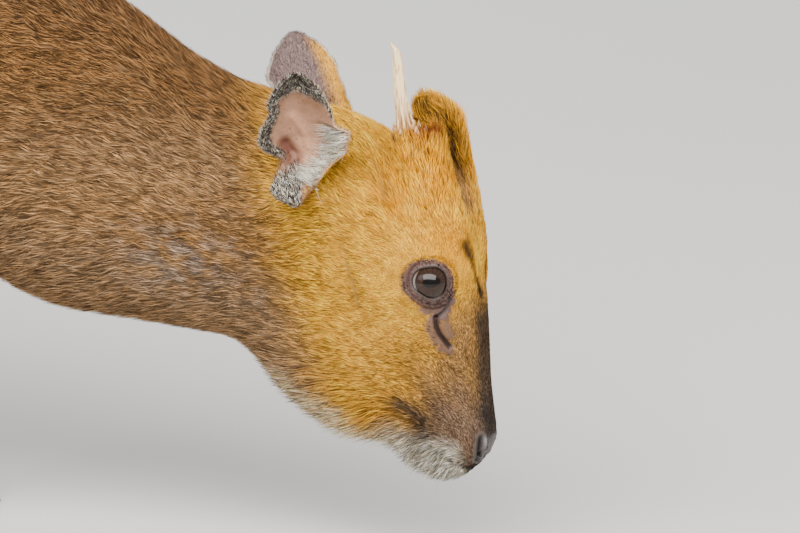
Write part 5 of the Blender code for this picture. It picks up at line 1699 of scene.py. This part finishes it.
class MUNTJAC_OT_whiskers(bpy.types.Operator):
    """Plants the whiskers of the lip and chin, and the lashes of the upper lid"""

    bl_idname = "muntjac.whiskers"
    bl_label = "Whiskers and lashes"

    def execute(self, context):
        coat = context.scene.muntjac_coat
        black, cream = np.array(coat.black), np.array(coat.cream)
        skin = piece_surface("skin")
        for word, side in SIDES.items():
            lids = piece_surface(f"lids_{word}")
            cheek, chin = self.bed(skin, side, WHISKER_BED), self.bed(skin, side, CHIN_BED)
            lid = self.brow(lids, side)
            for name, surface, kept, density, direction, size, colour in (
                ("whiskers", skin, cheek, 0.045, (0.5, side * 0.8, -0.5), (15.0, 0.20, 44.0), black * 2),
                ("chin_whiskers", skin, chin, 0.05, (-0.5, side * 0.5, -0.8), (14.0, 0.22, 50.0), cream),
                ("lashes", lids, lid, 0.9, (0.3, side * 0.8, 0.5), (4.5, 0.22, 42.0), black),
            ):
                seed = SEEDS[name] + side
                bristles(f"{name}_{word}", surface, kept, density, direction, size, colour, seed)
        return {"FINISHED"}

    def bed(self, surface, side, path):
        """Triangles of the skin near a line on one side of the head."""
        middles, places = triangle_middles(surface)
        return (path_distance(places, path) < WHISKER_REACH) & (middles[:, 1] * side > 0)

    def brow(self, surface, side):
        """Triangles along the upper lid's edge."""
        beyond, _, turn = eye_place(triangle_middles(surface)[0], side)
        return (beyond > 0.2) & (beyond < 1.2) & (np.sin(turn) > 0.25)


class MUNTJAC_OT_coat_neck(bpy.types.Operator):
    """Plants the ticked coat of the neck"""

    bl_idname = "muntjac.coat_neck"
    bl_label = "Coat of the neck"

    def execute(self, context):
        surface = piece_surface("skin")
        middles, places = triangle_middles(surface)
        neck = (ahead_of_neck(places) <= 0) & (ahead_of_trunk(places) > 0)
        for word, side in SIDES.items():
            kept = neck & (middles[:, 1] * side >= 0)
            coat_piece(f"coat_neck_{word}", surface, kept, SEEDS["neck"] + side, context)
        return {"FINISHED"}


class MUNTJAC_OT_coat_trunk(bpy.types.Operator):
    """Plants the coat of the trunk and the tail"""

    bl_idname = "muntjac.coat_trunk"
    bl_label = "Coat of the trunk"

    def execute(self, context):
        surface = piece_surface("skin")
        middles, places = triangle_middles(surface)
        trunk = (ahead_of_trunk(places) <= 0) & ~leg_share(places)
        fore = places[:, 0] > TRUNK_MIDDLE
        for half, part in (("fore", trunk & fore), ("hind", trunk & ~fore)):
            for word, side in SIDES.items():
                kept = part & (middles[:, 1] * side >= 0)
                coat_piece(f"coat_trunk_{half}_{word}", surface, kept, SEEDS[half] + side, context)
        return {"FINISHED"}


class MUNTJAC_OT_coat_legs(bpy.types.Operator):
    """Plants the short coat of the legs"""

    bl_idname = "muntjac.coat_legs"
    bl_label = "Coat of the legs"

    def execute(self, context):
        surface = piece_surface("skin")
        middles, places = triangle_middles(surface)
        legs, fore = leg_share(places), places[:, 0] > LEGS_MIDDLE
        for number, name in enumerate(LEGS):
            side = 1 if name.endswith("left") else -1
            kept = legs & (fore == name.startswith("fore")) & (middles[:, 1] * side >= 0)
            coat_piece(f"coat_{name}", surface, kept, SEEDS["legs"] + number, context)
        return {"FINISHED"}


class MUNTJAC_PT_panel(bpy.types.Panel):
    bl_idname = "MUNTJAC_PT_panel"
    bl_label = "Muntjac"
    bl_space_type = "VIEW_3D"
    bl_region_type = "UI"
    bl_category = "Muntjac"

    def draw(self, context):
        for operator in OPERATORS:
            self.layout.operator(operator.bl_idname)
        for name, group in SETTINGS.items():
            box = self.layout.box()
            for prop in group.__annotations__:
                box.prop(getattr(context.scene, name), prop)


SETTINGS = {
    "muntjac_stage": StageSettings,
    "muntjac_coat": CoatSettings,
    "muntjac_skin": SkinSettings,
    "muntjac_eye": EyeSettings,
    "muntjac_ear": EarSettings,
    "muntjac_horn": HornSettings,
}
OPERATORS = (
    MUNTJAC_OT_stage,
    MUNTJAC_OT_skin,
    MUNTJAC_OT_eyes,
    MUNTJAC_OT_ears,
    MUNTJAC_OT_antler,
    MUNTJAC_OT_hooves,
    MUNTJAC_OT_coat_head,
    MUNTJAC_OT_whiskers,
    MUNTJAC_OT_coat_neck,
    MUNTJAC_OT_coat_trunk,
    MUNTJAC_OT_coat_legs,
)


def register():
    for cls in (*SETTINGS.values(), *OPERATORS, MUNTJAC_PT_panel):
        bpy.utils.register_class(cls)
    for name, group in SETTINGS.items():
        setattr(bpy.types.Scene, name, bpy.props.PointerProperty(type=group))


def unregister():
    for name in SETTINGS:
        delattr(bpy.types.Scene, name)
    for cls in reversed((*SETTINGS.values(), *OPERATORS, MUNTJAC_PT_panel)):
        bpy.utils.unregister_class(cls)


def main():
    """Makes the whole model, in order."""
    register()
    for operator in OPERATORS:
        group, name = operator.bl_idname.split(".")
        getattr(getattr(bpy.ops, group), name)()


if __name__ == "__main__":
    main()
